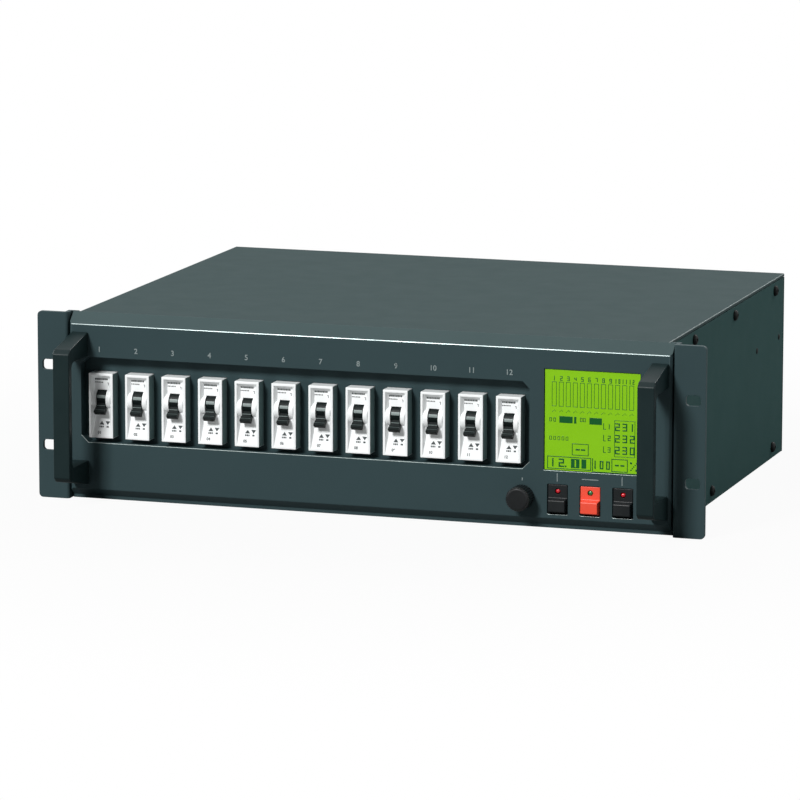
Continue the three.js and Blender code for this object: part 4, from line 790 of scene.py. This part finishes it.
# Display figures: the dark segments of the crystal, seen through the glass. They show twelve way
# numbers with outlined level bars, three plain values in a frame and a row of boxed figures.
lcd_ink = finish("display_segments", tint(16, 88, 38), 0.3, specular=0.2, grain=1500, depth=0.002)
ink = bmesh.new()


def bar(left, low, right, high):
    block(ink, (left, PANE_Y - 0.04, low), (right, PANE_Y + 0.3, high))


def frame_of(left, low, right, high, line=0.35):
    bar(left, low, left + line, high)
    bar(right - line, low, right, high)
    bar(left + line, low, right - line, low + line)
    bar(left + line, high - line, right - line, high)


STROKES = {"top": (0, 1, 1, 1), "middle": (0, 0.5, 1, 0.5), "low": (0, 0, 1, 0), "left_up": (0, 0.5, 0, 1),
           "right_up": (1, 0.5, 1, 1), "left_low": (0, 0, 0, 0.5), "right_low": (1, 0, 1, 0.5),
           "left": (0, 0, 0, 1), "right": (1, 0, 1, 1), "upright": (0.5, 0, 0.5, 1)}
LIT = {"0": "top low left right", "1": "upright",
       "2": "top right_up middle left_low low", "3": "top right_up middle right_low low",
       "4": "left_up middle right_up right_low", "5": "top left_up middle right_low low",
       "6": "top left_up middle left_low right_low low", "7": "top right",
       "8": "top middle low left_up right_up left_low right_low",
       "9": "top middle low left_up right_up right_low"}


def figures(words, height, x, z, line=0.5, share=0.55):
    """Plain figures made of strokes; x and z are the middle of the row."""
    wide, step = height * share, height * share + 2.2 * line
    left = x - (step * (len(words) - 1) + wide) / 2
    for i, sign in enumerate(words):
        for stroke in LIT[sign].split():
            x1, z1, x2, z2 = STROKES[stroke]
            corner, base = left + step * i, z - height / 2
            gap = 0 if z1 == z2 or stroke == "upright" else line
            bar(corner + (wide - line) * x1, base + (height - line) * z1 + gap,
                corner + (wide - line) * x2 + line, base + (height - line) * z2 + line - gap)


COLUMN_LEFT, COLUMN_PITCH, COLUMN_HALF, COLUMN_LOW, COLUMN_HIGH = 6.9, 4.95, 1.65, 19.4, 36.4
WAY_FIGURE_TALL, WAY_FIGURE_Z, ONE_SIGN, TWO_SIGNS = 3.2, 38.8, 0.55, 0.4
PEAK_HALF, PEAK_LOW = 0.22, 15.4
for i in range(WAYS):
    x = DISPLAY[0] + COLUMN_LEFT + COLUMN_PITCH * i
    figures(str(i + 1), WAY_FIGURE_TALL, x, WAY_FIGURE_Z, 0.5, TWO_SIGNS if i > 8 else ONE_SIGN)
    frame_of(x - COLUMN_HALF, COLUMN_LOW, x + COLUMN_HALF, COLUMN_HIGH, 0.34)
    for side, up in ((-1.2, 0), (-0.4, 0.6), (0.4, 1.2), (1.1, 0.5)):
        bar(x + side - PEAK_HALF, PEAK_LOW + up, x + side + PEAK_HALF, PEAK_LOW + 0.5 + up)

# Filled and outlined boxes under the level bars.
for left, right in ((138.6, 148.0), (149.0, 150.6), (159.8, 168.6)):
    bar(left, 8.2, right, 12.8)
for left, low in ((131.6, 8.8), (134.4, 8.8), (153.2, 9.6), (155.4, 9.6)):
    frame_of(left, low, left + 1.7, low + 2.8, 0.42)

# Three values in a frame, each with its number after an upright and a foot.
VALUE_TALL, VALUE_TOP, VALUE_PITCH, VALUE_X = 5.4, 7.4, 8.0, 184.8
ROW_TALL, ROW_X, MARK_LEFT = 3.6, 173.8, 169.6
frame_of(177.4, -13.2, 192.0, 12.0, 0.36)
for row, words in enumerate(("231", "232", "230")):
    middle = VALUE_TOP - VALUE_PITCH * row
    figures(words, VALUE_TALL, VALUE_X, middle, 0.85, 0.62)
    figures(str(row + 1), ROW_TALL, ROW_X, middle, 0.55)
    bar(MARK_LEFT, middle - 2.2, MARK_LEFT + 0.5, middle + 2.2)
    bar(MARK_LEFT + 0.5, middle - 2.2, MARK_LEFT + 1.8, middle - 1.7)

# A row of small boxes and a framed pair of dashes.
for i in range(5):
    frame_of(131.6 + 2.9 * i, -3.8, 133.4 + 2.9 * i, -1.2, 0.36)
frame_of(147.6, -13.8, 159.4, -5.6, 0.5)
for left in (150.2, 154.0):
    bar(left, -10.3, left + 3, -9.2)

# The bottom row: framed figures with a point and two dark boxes, a hundred, a framed pair of dashes and
# a share sign.
BOTTOM_TALL, BOTTOM_Z = 5.8, -19.4
frame_of(130.2, -23.8, 161.2, -15.0, 0.55)
figures("12", BOTTOM_TALL, 137.2, BOTTOM_Z, 1.0, 0.66)
bar(142.6, -22.3, 143.8, -21.1)
for left, low, right, high in ((147.0, -22.6, 149.6, -16.2), (150.6, -22.6, 153.0, -16.2),
                               (149.6, -22.6, 150.6, -21.8), (149.6, -17.0, 150.6, -16.2),
                               (154.4, -22.6, 157.8, -16.2)):
    bar(left, low, right, high)
bar(161.9, -23.8, 162.5, -15.0)
figures("100", BOTTOM_TALL, 168.6, BOTTOM_Z, 0.85, 0.46)
bar(161.9, -24.6, 194.8, -24.1)
frame_of(175.6, -23.6, 187.0, -14.6, 0.55)
for left in (178.0, 181.9):
    bar(left, -19.6, left + 2.8, -18.5)
for low, left in ((-22.2, 188.8), (-21.0, 189.8), (-19.8, 190.8), (-18.6, 191.8), (-17.4, 192.8)):
    bar(left, low, left + 0.9, low + 0.9)
bar(188.6, -17.6, 190.0, -16.2)
bar(192.4, -22.4, 193.8, -21.0)
piece("display_figures", ink, lcd_ink)

# Keys: moulded caps on a stem in their openings, the lower half raised, with a domed lamp in the upper
# half. The outer two are black with red lamps, the middle one is red with a green lamp.
KEY_HALF, KEY_TAPER, STEM_HALF, STEM_FRONT, STEM_BACK = 6.9, 0.86, 2, 7.5, 16
LAMP_UP, LAMP_WELL = 5.2, 2.0
key_black = finish("key_plastic_black", tint(13, 18, 20), 0.42, specular=0.3, grain=1300, depth=0.01,
                   wear=tint(90, 98, 100), wear_share=0.3)
key_red = finish("key_plastic_red", tint(240, 78, 54), 0.4, grain=1300, depth=0.01, mottle=0.05)
lamp_red = finish("lamp_red", tint(206, 30, 42), 0.16, grain=1500, depth=0.002, coat=0.6)
lamp_green = finish("lamp_green", tint(30, 120, 62), 0.16, grain=1500, depth=0.002, coat=0.6)
for x, word in zip(KEY_XS, ("left", "centre", "right")):
    cap = cutter([(0.6, 9.7), (0.6, 0.4), (-3.2, -0.7), (-3.4, -1.3), (-3.4, -8.5), (0.6, -9.7),
                  (8, -9.7), (8, 9.7)], "X", x - KEY_HALF, x + KEY_HALF)
    bmesh.ops.translate(cap, vec=(0, 0, KEY_Z), verts=cap.verts)
    for vert in cap.verts:
        if vert.co.y < 0:
            vert.co.x = x + (vert.co.x - x) * KEY_TAPER
    ease(cap, 0.45, 3, 30)
    bm = carve(cap, [cutter(circle(LAMP_WELL, 24, x, KEY_Z + LAMP_UP), "Y", -6, 10)])
    stem = bmesh.new()
    block(stem, (x - STEM_HALF, STEM_FRONT, KEY_Z - 5), (x + STEM_HALF, STEM_BACK, KEY_Z - 1))
    bm = carve(bm, [stem], "UNION")
    centre = word == "centre"
    piece(f"key_cap_{word}", bm, key_red if centre else key_black,
          f"key_{word}", [f"key_{word}"])
    bm = bmesh.new()
    turned(bm, [(0, 0.75), (0.6, 0.8), (1.2, 1.05), (1.55, 1.5), (1.7, 2.1), (1.7, 10), (0, 10)],
           (x, 0, KEY_Z + LAMP_UP), "Y", 24)
    piece(f"lamp_{word}", bm, lamp_green if centre else lamp_red,
          nodes=[f"key_lamp_{word}"])

# Knob: moulded black plastic with a ribbed skirt and a smooth face with a rounded lip, pushed on the
# steel shaft of the rotary encoder behind the panel.
RIBS, RIB_STEPS, KNOB_FRONT, KNOB_BACK, LIP_DEEP = 30, (7.95, 8.4, 8.5, 8.4), -12.6, -0.8, 1.2
SHAFT_RADIUS, SHAFT_FRONT, SHAFT_BACK = 3, -3, 13
knob_black = finish("knob_plastic", tint(16, 19, 21), 0.34, 0.25, wear=tint(110, 116, 118),
                    wear_share=0.5, mottle=0.12, soft=0.2)
ribbed = []
for i in range(RIBS * 4):
    angle, radius = math.pi * i / (2 * RIBS), RIB_STEPS[i % 4]
    ribbed.append((KNOB_X + radius * math.cos(angle), KNOB_Z + radius * math.sin(angle)))
bm = bmesh.new()
rim = prism(bm, ribbed, "Y", KNOB_BACK, KNOB_FRONT + LIP_DEEP)[len(ribbed):]
front = next(f for f in bm.faces if set(f.verts) == set(rim))
pushed = bmesh.ops.extrude_face_region(bm, geom=[front])["geom"]
bm.faces.remove(front)
lip = [v for v in pushed if isinstance(v, bmesh.types.BMVert)]
bmesh.ops.translate(bm, vec=(0, -0.55, 0), verts=lip)
bmesh.ops.scale(bm, vec=(0.945, 1, 0.945), space=Matrix.Translation((-KNOB_X, 0, -KNOB_Z)), verts=lip)
cap = bmesh.new()
turned(cap, [(0, KNOB_FRONT), (6.3, KNOB_FRONT), (6.9, KNOB_FRONT + 0.12), (7.3, KNOB_FRONT + 0.45),
             (7.45, KNOB_FRONT + 0.95), (7.45, KNOB_FRONT + 3), (0, KNOB_FRONT + 3)],
       (KNOB_X, 0, KNOB_Z), "Y", 72)
shaft = bmesh.new()
turned(shaft, [(0, SHAFT_FRONT), (SHAFT_RADIUS, SHAFT_FRONT), (SHAFT_RADIUS, SHAFT_BACK), (0, SHAFT_BACK)],
       (KNOB_X, 0, KNOB_Z), "Y", 24)
bm = carve(bm, [cap, shaft], "UNION")
piece("knob_cap", bm, knob_black, "knob", ["knob"], crease=28)

# Handles: flat aluminium bar bent and milled to a bow, its arms tapering to the panel, anodised satin
# black and screwed on from behind. The chamfer at the top front of each bow carries a pale painted
# highlight.
HANDLE_X, HANDLE_HALF, HANDLE_DROP = 209.5, 6, 1
BEND_Y, BEND_Z, BEND_RADIUS, BEND_STEPS = -31.5, 37, 4, 8
handle_black = finish("handle_anodised", tint(24, 38, 39), 0.42, specular=0.12, wear=tint(72, 84, 86),
                      wear_share=0.3, mottle=0.06)
# Painted highlight: a pale finish on the top-front chamfer of each handle.
handle_painted_highlight = finish("handle_painted_highlight_edge", tint(132, 144, 144), 0.34, 0.4, wear=tint(150, 158, 158),
                       wear_share=0.5)
arc = []
for i in range(BEND_STEPS + 1):
    angle = math.pi / 2 * i / BEND_STEPS
    arc.append((BEND_Y + BEND_RADIUS * (1 - math.sin(angle)), BEND_Z - BEND_RADIUS * (1 - math.cos(angle))))
upper = [(-37.5, 43.7), (-34.5, 46.7), (-0.1, 54.1), (-0.1, 37)] + arc
for side, word in ((-1, "left"), (1, "right")):
    x = side * HANDLE_X
    bm = cutter(upper + [(y, -z) for y, z in reversed(upper)], "X", x - HANDLE_HALF, x + HANDLE_HALF)
    ease(bm, 0.8, 3, 30)
    # The top-front chamfer takes the painted highlight.
    for face in bm.faces:
        if face.normal.y < -0.5 and face.normal.z > 0.4 and face.calc_center_median().z > 40:
            face.material_index = 1
    bmesh.ops.translate(bm, vec=(0, 0, -HANDLE_DROP), verts=bm.verts)
    piece(f"handle_bow_{word}", bm, [handle_black, handle_painted_highlight], nodes=[f"handle_{word}"])

# Rack ears: 3 mm steel plate folded along the case and joggled forward beside the panel, with two
# rounded slots for the rack screws, held by three button-head screws each. The leg behind the panel
# has its corners cut off, top and bottom.
EAR_IN, EAR_OUT, EAR_LEG, EAR_THICK, EAR_HALF = 218.7, 241.3, 213.3, 3, 66.25
LEG_FRONT, LEG_END, LEG_SCREWS = 9.3, 42.3, (-45, 0, 45)
RACK_SLOT, RACK_CORNER, RACK_INSET, RACK_ZS = (10.5, 7.5), 2.4, 8.75, (-28.575, 28.575)
# Painted highlight: a pale finish on the ears' top front edges and the cover's upper side edges.
painted_highlight_edge = finish("painted_highlight_edge", tint(92, 108, 108), 0.45, specular=0.3, wear=tint(130, 142, 142))
for side, word, turn in ((-1, "left", TO_LEFT), (1, "right", TO_RIGHT)):
    plan = [(EAR_IN, 0), (EAR_OUT, 0), (EAR_OUT, EAR_THICK), (EAR_IN + EAR_THICK, EAR_THICK),
            (EAR_IN + EAR_THICK, LEG_FRONT + EAR_THICK), (EAR_LEG + EAR_THICK, LEG_FRONT + EAR_THICK),
            (EAR_LEG + EAR_THICK, LEG_END), (EAR_LEG, LEG_END), (EAR_LEG, LEG_FRONT), (EAR_IN, LEG_FRONT)]
    bm = cutter([(side * x, y) for x, y in plan], "Z", -EAR_HALF, EAR_HALF)
    folds = [e for e in bm.edges if abs(e.verts[0].co.z - e.verts[1].co.z) > 1
             and any(abs(abs(e.verts[0].co.x) - fx) < 0.01 and abs(e.verts[0].co.y - fy) < 0.01
                     for fx, fy in ((EAR_IN, 0), (EAR_LEG, LEG_FRONT)))]
    ease(bm, 2.2, 5, 20, folds)
    tips = [e for e in bm.edges if abs(e.verts[0].co.z - e.verts[1].co.z) < 0.01
            and all(abs(abs(v.co.x) - EAR_OUT) < 0.01 for v in e.verts)]
    ease(bm, 3, 5, 20, tips)
    cuts = [cutter(rounded(*RACK_SLOT, RACK_CORNER, side * (EAR_OUT - RACK_INSET), z, 8), "Y", -2, 5)
            for z in RACK_ZS]
    cuts += [cutter([(10.4, s * 64.2), (12.5, s * 60.5), (45, s * 56), (45, s * 70), (10.4, s * 70)], "X",
                    side * (EAR_LEG - 3), side * (EAR_OUT + 3)) for s in (-1, 1)]
    bm = carve(bm, cuts)
    ease(bm, 0.35, 2, 30)
    # The top front edge of each ear takes the painted highlight.
    for face in bm.faces:
        if face.normal.z > 0.3 and face.normal.y < -0.3 and face.calc_center_median().z > 65:
            face.material_index = 1
    piece(f"ear_{word}", bm, [front_paint, painted_highlight_edge], nodes=[f"rack_ear_{word}"])
    screws(f"ear_screws_{word}", [(side * (EAR_LEG + EAR_THICK), 30, z) for z in LEG_SCREWS], turn)

# Top cover: 2.4 mm steel sheet that lies over both sides and the rear, with a flange down inside each
# side, powder coated a little darker than the sides as painted shade, with a painted highlight along its
# long edges.
REAR, TOP = 334, 65.9
FLANGE_IN, FLANGE_OUT, FLANGE_DOWN = 208.7, 210.7, 12
# Painted shade: the slate coat made darker on the top, which faces the lamps.
painted_shade_cover = finish("cover_coat_with_painted_shade", tint(37, 56, 57), 0.64, specular=0.1, mottle=0.015,
                     smudge=0.02, wear=bare_edge, wear_share=0.4)
bm = bmesh.new()
block(bm, (-SIDE, FRONT_SEAT, COVER_UNDER), (SIDE, REAR, TOP))
for side in (-1, 1):
    block(bm, (side * FLANGE_IN, FRONT_SEAT, COVER_UNDER - FLANGE_DOWN),
          (side * FLANGE_OUT, REAR_SEAT, COVER_UNDER + 0.3))
ease(bm, 0.5, 3)
# The cover's upper side edges take the painted highlight.
for face in bm.faces:
    if face.normal.z > 0.25 and abs(face.normal.x) > 0.25:
        face.material_index = 1
piece("cover_sheet", bm, [painted_shade_cover, painted_highlight_edge], nodes=["top_cover"])
